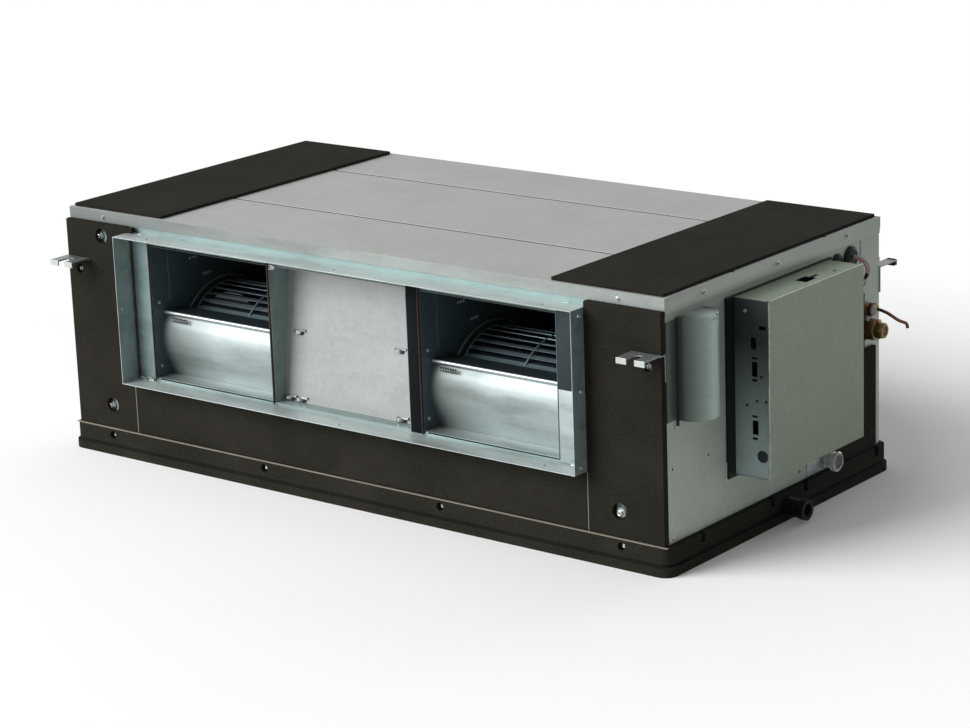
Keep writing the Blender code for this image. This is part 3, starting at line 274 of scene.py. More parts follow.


# zinc finishes, several of them lighter or darker copies of one sheet as painted light and shade; their streak shares
# paint highlight bands and their fades paint shade
zincs = {
    "zincSheet": {"colour": (0.235, 0.248, 0.236), "roughness": 0.46, "metallic": 0.25, "wave": 0.5,
        "spangle": 0.07, "cloud": 0.16},
    "wheelZinc": {"colour": (0.2, 0.27, 0.3), "roughness": 0.36, "metallic": 0.5, "wave": 0.2,
        "spangle": 0.03, "cloud": 0.1},
    # painted shade: the side zinc darkens towards the top
    "sideZinc": {"colour": (0.37, 0.41, 0.36), "roughness": 0.46, "metallic": 0.25, "wave": 0.4,
        "spangle": 0.04, "cloud": 0.16, "fade": [(2, 0.16, 0.42, 0.74)]},
    "coverZinc": {"colour": (0.205, 0.245, 0.188), "roughness": 0.46, "metallic": 0.25, "wave": 0.25,
        "spangle": 0.03, "cloud": 0.06},
    # painted shade: the box's front end is lighter at the bottom and darkened towards the top, where the capacitor
    # cover shades it
    "endShadeZinc": {"colour": (0.38, 0.47, 0.47), "roughness": 0.42, "wave": 0.25, "spangle": 0.03, "cloud": 0.08,
        "fade": [(2, 0.11, 0.32, 0.11)]},
    # painted light and shade: the capacitor cover is bright along its middle and darkened towards its front and rear
    # edges
    "canZinc": {"colour": (0.34, 0.42, 0.378), "roughness": 0.4, "metallic": 0.35, "wave": 0.2,
        "spangle": 0.03, "cloud": 0.08, "fade": [(1, -0.236, -0.264, 0.22), (1, -0.216, -0.196, 0.22)]},
    "ductZinc": {"colour": (0.375, 0.425, 0.418), "roughness": 0.4, "metallic": 0.35, "wave": 0.4,
        "spangle": 0.05, "cloud": 0.16, "highlightStreak": 0.3},
    "bulkZinc": {"colour": (0.23, 0.31, 0.305), "roughness": 0.44, "spangle": 0.04, "cloud": 0.12,
        "highlightStreak": 0.3},
    "innerZinc": {"colour": (0.2, 0.26, 0.25), "roughness": 0.44, "spangle": 0.04, "cloud": 0.12,
        "highlightStreak": 0.3},
    # painted shade: each nose darkens towards its left end, and carries painted highlight streaks
    "noseLeftZinc": {"colour": (0.275, 0.318, 0.315), "roughness": 0.46, "metallic": 0.4, "wave": 1.2,
        "spangle": 0.05, "cloud": 0.22, "fade": [(0, -0.29, -0.424, 0.34)], "highlightStreak": 0.5},
    "noseRightZinc": {"colour": (0.282, 0.328, 0.324), "roughness": 0.46, "metallic": 0.4, "wave": 1.2,
        "spangle": 0.05, "cloud": 0.22, "fade": [(0, 0.27, 0.146, 0.34)], "highlightStreak": 0.5},
    # painted shade: a darker copy of the zinc for the scroll plates and a near-black one for the wraps and other
    # shaded places
    "scrollZinc": {"colour": (0.085, 0.125, 0.138), "roughness": 0.4, "metallic": 0.4, "spangle": 0.03,
        "cloud": 0.1},
    "wrapZinc": {"colour": (0.02, 0.03, 0.034), "roughness": 0.45, "spangle": 0.03, "cloud": 0.1},
    "bracketZinc": {"colour": (0.22, 0.24, 0.235), "roughness": 0.38, "metallic": 0.6, "spangle": 0.04,
        "cloud": 0.12},
    "tipZinc": {"colour": (0.52, 0.55, 0.54), "roughness": 0.34, "metallic": 0.6, "spangle": 0.04,
        "cloud": 0.12},
    "plateZinc": {"colour": (0.285, 0.296, 0.292), "roughness": 0.5, "spangle": 0.08, "cloud": 0.2,
        "highlightStreak": 0.12},
    "topZinc": {"colour": (0.362, 0.37, 0.35), "roughness": 0.55, "metallic": 0.15, "spangle": 0.05,
        "cloud": 0.22, "shine": 0.1},
    # painted shade: the lid's front and rear faces darken towards the left, with painted highlight streaks
    "lidZinc": {"colour": (0.255, 0.275, 0.266), "roughness": 0.44, "spangle": 0.05, "cloud": 0.16,
        "fade": [(0, 0.0, -0.6, 0.66)], "highlightStreak": 0.35},
}
foams = {
    "insulatingFoam": (0.0195, 0.0175, 0.0138),
    "darkFoam": (0.0075, 0.0105, 0.0115),
    "gasketFoam": (0.06, 0.042, 0.03),
}
plastics = {
    "motorEnamel": {"colour": (0.03, 0.034, 0.038), "roughness": 0.38},
    "panWhite": {"colour": (0.62, 0.62, 0.59), "roughness": 0.5},
    "blackPlastic": {"colour": (0.006, 0.006, 0.006), "roughness": 0.5, "Specular IOR Level": 0.15},
    "clearPlastic": {"colour": (0.86, 0.88, 0.87), "roughness": 0.16, "Transmission Weight": 0.85, "IOR": 1.46},
    "rubber": {"colour": (0.006, 0.006, 0.0065), "roughness": 0.6, "Specular IOR Level": 0.12},
    "pinkLead": {"colour": (0.42, 0.17, 0.2), "roughness": 0.48},
    "whiteLead": {"colour": (0.4, 0.39, 0.38), "roughness": 0.45},
    "capacitorWhite": {"colour": (0.6, 0.6, 0.58), "roughness": 0.4},
    "grooveGrey": {"colour": (0.032, 0.042, 0.038), "roughness": 0.7, "Specular IOR Level": 0.1},
    "seamTape": {"colour": (0.24, 0.215, 0.165), "roughness": 0.75},
    "hollowBlack": {"colour": (0.006, 0.007, 0.008), "roughness": 0.8},
    "capGrey": {"colour": (0.13, 0.125, 0.105), "roughness": 0.5},
}
bareMetals = {
    "shaftSteel": {"colour": (0.55, 0.56, 0.57), "roughness": 0.3, "stain": (0.4, 0.4, 0.39)},
    "copperTube": {"colour": (0.4, 0.17, 0.09), "roughness": 0.36, "stain": (0.16, 0.07, 0.04)},
    "tarnishedCopper": {"colour": (0.13, 0.06, 0.035), "roughness": 0.4, "stain": (0.045, 0.028, 0.022)},
    "brass": {"colour": (0.21, 0.15, 0.055), "roughness": 0.36, "stain": (0.09, 0.062, 0.022), "metallic": 0.85},
    "coreIron": {"colour": (0.16, 0.16, 0.17), "roughness": 0.5, "stain": (0.09, 0.08, 0.08), "metallic": 0.6},
    "screwSteel": {"colour": (0.52, 0.54, 0.53), "roughness": 0.3, "stain": (0.24, 0.25, 0.24)},
    "springSteel": {"colour": (0.2, 0.21, 0.21), "roughness": 0.4, "stain": (0.06, 0.06, 0.06)},
}
looks = {
    **{name: zincFinish(name, **values) for name, values in zincs.items()},
    **{name: foamFinish(name, colour) for name, colour in foams.items()},
    **{name: plasticFinish(name, **values) for name, values in plastics.items()},
    **{name: bareFinish(name, **values) for name, values in bareMetals.items()},
    "boardGreen": boardFinish("boardGreen"),
    "finAluminium": finFinish("finAluminium"),
}
lookOfSlot = {
    "galvanised": "zincSheet", "foam": "insulatingFoam", "wheel_steel": "wheelZinc", "shaft_steel": "shaftSteel",
    "motor_paint": "motorEnamel", "fin_aluminium": "finAluminium", "pan_white": "panWhite",
    "black_plastic": "blackPlastic", "clear_plastic": "clearPlastic", "copper": "copperTube", "brass": "brass",
    "rubber": "rubber", "lead_pink": "pinkLead", "board_green": "boardGreen", "transformer_iron": "coreIron",
    "capacitor_white": "capacitorWhite",
}
slotOf = {row["node"]: row["material_slot"] for row in frame["record"]["subparts"]}
for name, node in nodes.items():
    for slot in node.material_slots:
        slot.material = looks[lookOfSlot[slotOf[name]]]
print("finishes:", len(bpy.data.materials))


# look is the name of a finish, or a list of names that the faces choose from
def addPiece(name, bm, look, body="casing", angle=35):
    mesh = bpy.data.meshes.new(name)
    bm.to_mesh(mesh)
    bm.free()
    mesh.shade_smooth()
    mesh.set_sharp_from_angle(angle=math.radians(angle))
    for one in [look] if isinstance(look, str) else look:
        mesh.materials.append(looks[one])
    item = linked(name, mesh)
    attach(item, body)
    return item


# a copy of a CAD node with its doubles merged, rounded edges and smooth curves
dress = {"doubles": 0.00001, "flat": 0.6, "sharp": 4}


def dressed(name, width=0.0, segments=2, angle=28, look=None, body="casing", chosen=None, moved=None):
    bm = bmesh.new()
    bm.from_mesh(nodes[name].data)
    bmesh.ops.remove_doubles(bm, verts=bm.verts, dist=dress["doubles"])
    bmesh.ops.dissolve_limit(bm, angle_limit=math.radians(dress["flat"]), verts=bm.verts, edges=bm.edges)
    if moved:
        for vert in bm.verts:
            vert.co += Vector(moved(vert.co))
    if chosen:
        for face in bm.faces:
            face.material_index = int(chosen(face.normal, face.calc_center_median()))
    item = addPiece(name + "_shell", bm, look or lookOfSlot[slotOf[name]], body, angle)
    if width:
        bevel = item.modifiers.new("edges", "BEVEL")
        bevel.width, bevel.segments, bevel.harden_normals = width, segments, True
        bevel.limit_method, bevel.angle_limit = "ANGLE", math.radians(angle + dress["sharp"])
    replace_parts(item, name)


def placed(bm, verts, at, normal, turn=0.0):
    facing = Vector(normal).to_track_quat("Z", "Y").to_matrix().to_4x4()
    bmesh.ops.transform(bm, matrix=Matrix.Translation(at) @ facing @ Matrix.Rotation(turn, 4, "Z"), verts=verts)


def bar(bm, xs, ys, zs):
    made = bmesh.ops.create_cube(bm, size=1)["verts"]
    size = [high - low for low, high in (xs, ys, zs)]
    middle = [(high + low) / 2 for low, high in (xs, ys, zs)]
    bmesh.ops.transform(bm, matrix=Matrix.Translation(middle) @ Matrix.Diagonal((*size, 1)), verts=made)


def disc(bm, at, normal, radius, depth, sides=20, tip=None, turn=0.0):
    made = bmesh.ops.create_cone(bm, cap_ends=True, segments=sides, radius1=radius,
                                 radius2=radius if tip is None else tip, depth=depth)["verts"]
    bmesh.ops.translate(bm, verts=made, vec=(0, 0, depth / 2))
    placed(bm, made, at, normal, turn)
    return made


def softened(bm, offset, segments=2, edges=None):
    bmesh.ops.bevel(bm, geom=edges or bm.edges[:], offset=offset, segments=segments, profile=0.5,
                    affect="EDGES", material=-1)


# a profile of (radius, height) turned about the normal
def turnedForm(bm, profile, at, normal, sides, doubles=0.000002):
    before = set(bm.verts)
    points = [bm.verts.new((radius, 0, height)) for radius, height in profile]
    edges = [bm.edges.new(pair) for pair in zip(points, points[1:])]
    bmesh.ops.spin(bm, geom=points + edges, cent=(0, 0, 0), axis=(0, 0, 1), angle=2 * math.pi, steps=sides,
                   use_merge=True)
    bmesh.ops.remove_doubles(bm, verts=[vert for vert in bm.verts if vert not in before], dist=doubles)
    made = [vert for vert in bm.verts if vert not in before]
    bmesh.ops.recalc_face_normals(bm, faces=list({face for vert in made for face in vert.link_faces}))
    placed(bm, made, at, normal)


# heads of screws and bolts, as shares of the radius: a washer (depth, sides, tip), a hexagon
# (width, depth, tip) and the insets (thickness, depth) that dish its top
heads = {
    "screw": {"washer": (0.22, 20, 0.93), "lift": 0.0, "hexagon": (0.72, 0.75, 0.66), "sides": 6, "turn": 0.3,
              "insets": ((0.16, 0.0), (0.08, -0.18))},
    "bolt": {"washer": (0.14, 24, 0.97), "lift": 0.1, "hexagon": (0.62, 0.42, 0.6), "sides": 6, "turn": 0.2,
             "insets": ((0.1, 0.04), (0.12, -0.08))},
}


def fastener(bm, kind, at, normal, radius):
    form = heads[kind]
    at, normal = Vector(at), Vector(normal)
    depth, sides, tip = form["washer"]
    disc(bm, at, normal, radius, radius * depth, sides, radius * tip)
    width, depth, tip = form["hexagon"]
    head = disc(bm, at + normal * radius * form["lift"], normal, radius * width, radius * depth,
                form["sides"], radius * tip, form["turn"])
    cap = max({face for vert in head for face in vert.link_faces},
              key=lambda face: (face.calc_center_median() - at).dot(normal))
    for thickness, depth in form["insets"]:
        bmesh.ops.inset_region(bm, faces=[cap], thickness=radius * thickness, depth=radius * depth)


# a round cord through points
cord = {"order": 4, "resolution": 8, "rounding": 3}


def cordCurve(name, points, radius, look):
    curve = bpy.data.curves.new(name, "CURVE")
    curve.dimensions = "3D"
    spline = curve.splines.new("NURBS")
    spline.points.add(len(points) - 1)
    for point, where in zip(spline.points, points):
        point.co = (*where, 1)
    spline.use_endpoint_u, spline.order_u, spline.resolution_u = True, cord["order"], cord["resolution"]
    curve.bevel_depth, curve.bevel_resolution, curve.use_fill_caps = radius, cord["rounding"], True
    curve.materials.append(looks[look])
    item = linked(name, curve)
    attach(item, "casing")
    return item


# a sheet strip bent round an axis, as wide as width along that axis
def curledTab(bm, at, along, start, radius, width, sweep, sheet, steps=9):
    before = set(bm.faces)
    along, start = Vector(along), Vector(start)
    ends = [bm.verts.new(Vector(at) + start * radius + along * side * width / 2) for side in (-1, 1)]
    edge = bm.edges.new(ends)
    bmesh.ops.spin(bm, geom=ends + [edge], cent=at, axis=along, angle=math.radians(sweep), steps=steps)
    bmesh.ops.solidify(bm, geom=[face for face in bm.faces if face not in before], thickness=sheet)
    bmesh.ops.recalc_face_normals(bm, faces=[face for face in bm.faces if face not in before])


def bars(name, limits, look, edge=0.0):
    bm = bmesh.new()
    for xs, ys, zs in limits:
        bar(bm, xs, ys, zs)
    if edge:
        softened(bm, edge)
    addPiece(name, bm, look)


# foam: tray, front, top and side sheets with softened edges; the side sheet's top is raised
foam = {"edge": 0.0016, "tray": 0.0022, "strip": 0.0009, "segments": 3, "rise": 0.018, "upper": 0.18}
for name in ("front_foam_left", "front_foam_right", "front_foam_lower"):
    dressed(name, foam["edge"], foam["segments"])
dressed("side_foam", foam["edge"], foam["segments"], moved=lambda at: (0, 0, foam["rise"] * (at.z > foam["upper"])))
for name in ("top_foam_left", "top_foam_right"):
    dressed(name, foam["strip"], foam["segments"])
dressed("base_tray", foam["tray"], foam["segments"])

# sheet metal, where a face chooses its finish by the way it faces: lighter and darker copies of the zinc as painted
# light and shade
sheet = {"edge": 0.00035, "fold": 0.0006, "facing": 0.7, "level": 0.5, "tip": 0.3425}
dressed("top_panel", sheet["edge"], look=["topZinc", "lidZinc", "sideZinc"],
        chosen=lambda normal, at: 0 if normal.z > sheet["level"] else 1 + (abs(normal.x) > sheet["facing"]))
for name in ("left_panel", "right_panel", "rear_frame"):
    dressed(name, sheet["edge"], look="sideZinc")
# painted highlight: the prongs' tips take a bright copy of the zinc, the bracket body a darker one
for name in ("bracket_front_left", "bracket_front_right", "bracket_rear_left", "bracket_rear_right"):
    dressed(name, sheet["edge"], look=["bracketZinc", "tipZinc"], chosen=lambda normal, at: abs(at.y) > sheet["tip"])
# painted shade: faces turned to +X, away from the lamp, take the darker inner zinc
dressed("outlet_collar", sheet["edge"], look=["ductZinc", "innerZinc"],
        chosen=lambda normal, at: normal.x > sheet["facing"])
dressed("front_bulkhead", sheet["edge"], look="bulkZinc")

# the plate in the recess leans forward at its foot
recess = {"low": 0.142, "high": 0.369, "lean": 0.026, "behind": -0.27}
recessLean = recess["lean"] / (recess["high"] - recess["low"])
# painted shade: the recess's side walls and floor take the darker inner zinc
dressed("centre_plate", sheet["edge"], look=["plateZinc", "innerZinc"],
        chosen=lambda normal, at: abs(normal.y) < sheet["facing"],
        moved=lambda at: (0, -recessLean * (recess["high"] - at.z) * (at.y > recess["behind"]), 0))

# electric box and capacitor cover; the box's faces turned to the front take a copy of the zinc with painted shade
for name, edge in (("ebox_cover", sheet["fold"]), ("ebox_tray", sheet["edge"])):
    dressed(name, edge, look=["coverZinc", "endShadeZinc"], chosen=lambda normal, at: normal.y < -sheet["facing"])
dressed("capacitor_cover", sheet["fold"], look="canZinc")

# scroll housings: bright noses with painted shade, near-black, on the shelf behind their lip; side plates and wraps
# in darker copies of the zinc as painted shade
shelf = {"steep": 0.45, "behind": -0.268}
for name, look in (("nose_left", "noseLeftZinc"), ("nose_right", "noseRightZinc")):
    dressed(name, look=[look, "wrapZinc"],
            chosen=lambda normal, at: normal.z > shelf["steep"] and at.y > shelf["behind"])
for name in nodes:
    if name.startswith("scroll_"):
        dressed(name, look="scrollZinc" if "plate" in name else "wrapZinc")

# round and plain pieces need only smooth curves
smooth = {"angle": 35, "union": 0.0005}
for name in ("motor_saddle", "coil_plate_left", "coil_plate_right"):
    dressed(name)
for name in ("motor_body", "drain_spout", "clear_stub", "gas_pipe", "liquid_pipe", "grommet_small", "grommet_large",
             "capacitor", "drain_pan"):
    dressed(name, angle=smooth["angle"])
dressed("service_union", smooth["union"])
for name in ("wheel_left", "wheel_right"):
    dressed(name, body="fan_rotor")

# fan wheels: thin forward-curved blades between the middle disc and a rolled end ring
wheel = {"radius": 0.102, "bore": 0.084, "blades": 38, "sweep": 14, "bend": 1.8, "points": 8, "blade": 0.001,
         "inset": 0.0006, "ring": 0.0035, "covered": 0.6, "round": 0.001, "ringSides": 76, "half": 0.118,
         "disc": 0.0017, "shade": 0.0972, "axis": (-0.134, 0.175), "centres": {"left": -0.2915, "right": 0.2765}}


def bladeCage(name, centre, side):
    bm = bmesh.new()
    axisY, axisZ = wheel["axis"]
    rim, bore, ring, inset, curve = (wheel[key] for key in ("radius", "bore", "ring", "inset", "round"))
    near, far = centre + side * wheel["disc"], centre + side * (wheel["half"] - ring * wheel["covered"])
    line = []
    for step in range(wheel["points"] + 1):
        share = step / wheel["points"]
        radius = bore + inset + (rim - bore - 2 * inset) * share
        angle = math.radians(wheel["sweep"]) * share ** wheel["bend"]
        line.append(bm.verts.new((near, axisY + radius * math.cos(angle), axisZ + radius * math.sin(angle))))
    edges = [bm.edges.new(pair) for pair in zip(line, line[1:])]
    swept = bmesh.ops.extrude_edge_only(bm, edges=edges)["geom"]
    bmesh.ops.translate(bm, verts=[part for part in swept if isinstance(part, bmesh.types.BMVert)],
                        vec=(far - near, 0, 0))
    bmesh.ops.recalc_face_normals(bm, faces=bm.faces)
    bmesh.ops.solidify(bm, geom=bm.faces[:], thickness=wheel["blade"])
    bmesh.ops.recalc_face_normals(bm, faces=bm.faces)
    more = wheel["blades"] - 1
    bmesh.ops.spin(bm, geom=bm.verts[:] + bm.edges[:] + bm.faces[:], cent=(centre, axisY, axisZ), axis=(1, 0, 0),
                   angle=2 * math.pi * more / wheel["blades"], steps=more, use_duplicate=True)
    ringProfile = [(bore + curve, 0), (rim - 2 * curve, 0), (rim - inset, inset), (rim, 2 * curve),
                   (rim, ring - curve), (rim - curve, ring), (bore + curve, ring), (bore, ring - curve),
                   (bore, curve), (bore + curve, 0)]
    turnedForm(bm, ringProfile, (centre + side * wheel["half"], axisY, axisZ), (-side, 0, 0), wheel["ringSides"])
    # painted shade: faces nearer the axis than shade take the near-black zinc, so only the blades' outer edges show
    for face in bm.faces:
        at = face.calc_center_median()
        face.material_index = int(math.hypot(at.y - axisY, at.z - axisZ) < wheel["shade"])
    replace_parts(addPiece(name + "_fine", bm, ["wheelZinc", "wrapZinc"], "fan_rotor"), name)


for label, outward in (("left", -1), ("right", 1)):
    bladeCage(f"blades_{label}_outer", wheel["centres"][label], outward)
    bladeCage(f"blades_{label}_inner", wheel["centres"][label], -outward)

# the coil's fins, one plate repeated along its length, and the tubes through them
coil = {"length": 1.056, "height": 0.318, "thickness": 0.072, "tilt": 18, "centre": (0, 0.12899, 0.17728),
        "pitch": 0.0024, "fin": 0.0006, "rows": (-1, 1), "tubes": 10, "stagger": 0.25, "tube": 0.0045, "sides": 14}
coilPlace = Matrix.Translation(coil["centre"]) @ Matrix.Rotation(math.radians(coil["tilt"]), 4, "X")
start = -coil["length"] / 2
bm = bmesh.new()
bar(bm, (start, start + coil["fin"]), (-coil["thickness"] / 2, coil["thickness"] / 2),
    (-coil["height"] / 2, coil["height"] / 2))
bmesh.ops.transform(bm, matrix=coilPlace, verts=bm.verts)
fins = addPiece("coil_fin_stack", bm, "finAluminium")
stack = fins.modifiers.new("stack", "ARRAY")
stack.use_relative_offset, stack.use_constant_offset = False, True
stack.constant_offset_displace = (coil["pitch"], 0, 0)
stack.count = int(coil["length"] / coil["pitch"])
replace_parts(fins, "coil_fins")
bm = bmesh.new()
for row in coil["rows"]:
    for number in range(coil["tubes"]):
        z = coil["height"] * ((number + 0.5 + coil["stagger"] * row) / coil["tubes"] - 0.5)
        disc(bm, (start, coil["thickness"] * row / 4, z), (1, 0, 0), coil["tube"], coil["length"], coil["sides"])
bmesh.ops.transform(bm, matrix=coilPlace, verts=bm.verts)
addPiece("coil_tubes", bm, "copperTube")

# screws on the casing
screws = {
    "lid": [(-0.5226, -0.295, 0.4037), (0.5177, -0.295, 0.4035)],
    "side": [(0.6, -0.1953, 0.4029), (0.6, 0.0019, 0.4033), (0.6, 0.1973, 0.4041)],
    "panel": [(0.5985, -0.2809, 0.0517), (0.5985, 0.0566, 0.0603)],
    "rear": [(x, 0.295, 0.4035) for x in (-0.52, -0.18, 0.18, 0.52)],
    "frame": [(x, 0.2938, z) for x in (-0.57, 0.57) for z in (0.07, 0.21, 0.37)],
    "large": 0.0042, "small": 0.0036,
}
bm = bmesh.new()
for spot in screws["lid"]:
    fastener(bm, "screw", spot, (0, -1, 0), screws["large"])
for group, size in (("side", "large"), ("panel", "small")):
    for x, y, z in screws[group]:
        for side in (1, -1):
            fastener(bm, "screw", (side * x, y, z), (side, 0, 0), screws[size])
for spot in screws["rear"] + screws["frame"]:
    fastener(bm, "screw", spot, (0, 1, 0), screws["large"])
addPiece("casing_screws", bm, "screwSteel")

# bolts sunk in the foam, each on its washer, and those of the brackets, front and rear
bolts = {"foam": [(-0.5325, 0.3715), (-0.532, 0.0805), (0.5165, 0.0805)], "large": 0.0082,
         "washer": {"front": -0.2936, "radius": 0.0086, "depth": 0.003, "sides": 24},
         "bracket": [(-0.582, 0.3105), (0.569, 0.3105)], "small": 0.0065, "face": 0.2965}
bm = bmesh.new()
for x, z in bolts["foam"]:
    washer = bolts["washer"]
    disc(bm, (x, washer["front"], z), (0, -1, 0), washer["radius"], washer["depth"], washer["sides"])
    fastener(bm, "bolt", (x, -bolts["face"], z), (0, -1, 0), bolts["large"])
for x, z in bolts["bracket"]:
    for side in (-1, 1):
        fastener(bm, "bolt", (x, side * bolts["face"], z), (0, side, 0), bolts["small"])
addPiece("foam_bolts", bm, "screwSteel")

# seams: pale brown lines where the foam pieces meet and along the tray's top front
seam = {"left": (-0.4641, -0.4632), "right": (0.4632, 0.4641), "front": (-0.3054, -0.301),
        "height": (0.0446, 0.1362), "tray": ((-0.606, 0.606), (-0.3094, -0.3052), (0.044, 0.0449))}
bars("foam_seams", [(seam["left"], seam["front"], seam["height"]), (seam["right"], seam["front"], seam["height"]),
                    seam["tray"]], "seamTape")

# the corner of foam above the collar's left end
corner = {"limits": ((-0.4631, -0.4475), (-0.3048, -0.2965), (0.3868, 0.3955)), "edge": 0.0012}
bars("foam_corner", [corner["limits"]], "insulatingFoam", corner["edge"])

# gasket strips (x, width): round the bulkhead's left strip and on the front edges of the scroll plates
strips = {"depth": (-0.2985, -0.2955), "height": (0.1395, 0.3835), "edge": 0.0005,
          "places": ((-0.4606, 0.0022), (-0.4225, 0.002), (-0.1615, 0.0018), (0.145, 0.0018))}
bars("outlet_gaskets", [((x, x + width), strips["depth"], strips["height"]) for x, width in strips["places"]],
     "gasketFoam", strips["edge"])

# a near-black strip between the recess and the right scroll, and the strips that close the bulkhead beside the right
# outlet
closing = {"front": (-0.2953, -0.2937), "dark": (0.1209, 0.146), "end": (0.4072, 0.4612), "foot": 0.1396,
           "split": 0.2515, "above": 0.2517, "top": 0.3836, "darkEdge": 0.0004, "zincEdge": 0.0003}
bars("recess_dark_strip", [(closing["dark"], closing["front"], (closing["foot"], closing["top"]))],
     "darkFoam", closing["darkEdge"])
# the lower strip takes the right nose's finish, with its painted shade and highlights
bars("end_strip_low", [(closing["end"], closing["front"], (closing["foot"], closing["split"]))],
     "noseRightZinc", edge=closing["zincEdge"])
# painted shade: the upper strip is near-black so it reads as a recess
bars("end_strip_high", [(closing["end"], closing["front"], (closing["above"], closing["top"]))],
     "wrapZinc", edge=closing["zincEdge"])

# the shadowed floor of the two grooves pressed in the lid
lidGrooves = {"lines": (-0.114, 0.138), "half": 0.0027, "depth": (0.4111, 0.4134), "reach": (-0.5975, 0.5975)}
bars("lid_grooves", [(lidGrooves["reach"], (y - lidGrooves["half"], y + lidGrooves["half"]), lidGrooves["depth"])
                     for y in lidGrooves["lines"]], "grooveGrey")

# bent tabs at the corners of the collar (x, z, way of the curl), and the folded foot of each scroll plate
tabs = {"radius": 0.0035, "width": 0.01, "sweep": 200, "sheet": 0.0008, "front": -0.301, "lift": 0.0005,
        "curls": [(-0.45, 0.3835, -1), (-0.434, 0.383, -1), (-0.433, 0.141, 1), (-0.45, 0.14, 1),
                  (-0.148, 0.3665, -1), (0.43, 0.3835, -1), (0.433, 0.141, 1)],
        "feet": ((-0.421, -0.4145), (0.147, 0.1535)), "footDepth": (-0.294, -0.246), "footHeight": (0.142, 0.1432)}
bm = bmesh.new()
for x, z, way in tabs["curls"]:
    curledTab(bm, (x, tabs["front"], z - way * tabs["lift"]), (1, 0, 0), (0, 0, -way), tabs["radius"],
              tabs["width"], tabs["sweep"] * way, tabs["sheet"])
for foot in tabs["feet"]:
    bar(bm, foot, tabs["footDepth"], tabs["footHeight"])
addPiece("collar_tabs", bm, "ductZinc")

# a pressed rib, screws and small lugs on the inner face of each scroll's left plate
scrollMarks = {"plates": (-0.4206, 0.1474), "rib": {"sunk": 0.0006, "y": -0.2555, "low": 0.268, "length": 0.0895},
               "ribRadius": 0.0013, "ribSides": 12, "screws": [(-0.2805, 0.2695), (-0.2838, 0.1625)],
               "screw": 0.0032, "lugs": [(-0.205, 0.328), (-0.174, 0.295)], "lugSteps": (0, 0.007, 0.014),
               "lug": {"out": 0.0022, "deep": 0.0035, "half": 0.0022}}
bm = bmesh.new()
rib, lug = scrollMarks["rib"], scrollMarks["lug"]
for x in scrollMarks["plates"]:
    disc(bm, (x - rib["sunk"], rib["y"], rib["low"]), (0, 0, 1), scrollMarks["ribRadius"], rib["length"],
         scrollMarks["ribSides"])
    for y, z in scrollMarks["screws"]:
        fastener(bm, "screw", (x, y, z), (1, 0, 0), scrollMarks["screw"])
    for y, z in scrollMarks["lugs"]:
        for shift in scrollMarks["lugSteps"]:
            bar(bm, (x, x + lug["out"]), (y + shift, y + shift + lug["deep"]), (z - lug["half"], z + lug["half"]))
addPiece("scroll_ribs", bm, "ductZinc")

# the rolled lip on top of each nose, in the bright zinc as a painted highlight line, and the ring of each inlet mouth
lips = {"at": (-0.2704, 0.2516), "radius": 0.0024, "sides": 18, "length": 0.254,
        "starts": {"left": -0.4186, "right": 0.1494}}
for label, x in lips["starts"].items():
    bm = bmesh.new()
    disc(bm, (x, *lips["at"]), (1, 0, 0), lips["radius"], lips["length"], lips["sides"])
    addPiece("lip_roll_" + label, bm, "tipZinc")
mouth = {"inner": 0.108, "outer": 0.1104, "low": 0.0012, "high": 0.0018, "sides": 64,
         "plates": ((-0.4149, 1), (-0.1681, -1), (0.1531, 1), (0.3999, -1))}
mouthProfile = [(mouth["inner"], 0), (mouth["outer"], 0), (mouth["outer"], mouth["low"]),
                (mouth["inner"], mouth["high"]), (mouth["inner"], 0)]
bm = bmesh.new()
for x, side in mouth["plates"]:
    turnedForm(bm, mouthProfile, (x, *wheel["axis"]), (side, 0, 0), mouth["sides"])
addPiece("inlet_rings", bm, "innerZinc")

# a coil spring hooked under the left end of each scroll's lip
spring = {"turns": 7, "stepsInTurn": 10, "radius": 0.0032, "wire": 0.0008, "length": 0.034,
          "at": (-0.2765, 0.2425), "starts": {"left": -0.3955, "right": 0.1675}}
for label, x in spring["starts"].items():
    steps = spring["turns"] * spring["stepsInTurn"]
    points = []
    for step in range(steps + 1):
        angle = 2 * math.pi * step / spring["stepsInTurn"]
        points.append((x + spring["length"] * step / steps, spring["at"][0] + spring["radius"] * math.cos(angle),
                       spring["at"][1] + spring["radius"] * math.sin(angle)))
    cordCurve("lip_spring_" + label, points, spring["wire"], "springSteel")

# lanced clips on the centre plate: a raised bow with a black disc beside it
clips = {"spots": [(-0.135, -0.259, 0.2555), (0.072, -0.259, 0.2543), (-0.15, -0.2722, 0.1485),
                   (-0.127, -0.2722, 0.1485), (0.081, -0.2722, 0.148)],
         "bow": {"back": 0.0005, "radius": 0.0062, "width": 0.0052, "sweep": 180, "sheet": 0.001},
         "tongue": ((0.005, 0.0165), (-0.0026, 0.0004), (0.001, 0.0042)),
         "hollow": {"shift": (0.0075, -0.0002, -0.001), "radius": 0.0042, "depth": 0.0022, "sides": 14}}
bow, hollow = clips["bow"], clips["hollow"]
bm = bmesh.new()
blackDiscs = bmesh.new()
for spot in clips["spots"]:
    x, y, z = spot
    curledTab(bm, (x, y + bow["back"], z), (0, 0, 1), (-1, 0, 0), bow["radius"], bow["width"], bow["sweep"],
              bow["sheet"])
    bar(bm, *[(middle + low, middle + high) for middle, (low, high) in zip(spot, clips["tongue"])])
    disc(blackDiscs, Vector(spot) + Vector(hollow["shift"]), (0, -1, 0), hollow["radius"], hollow["depth"],
         hollow["sides"])
addPiece("centre_clips", bm, "screwSteel")
addPiece("clip_black_discs", blackDiscs, "hollowBlack")

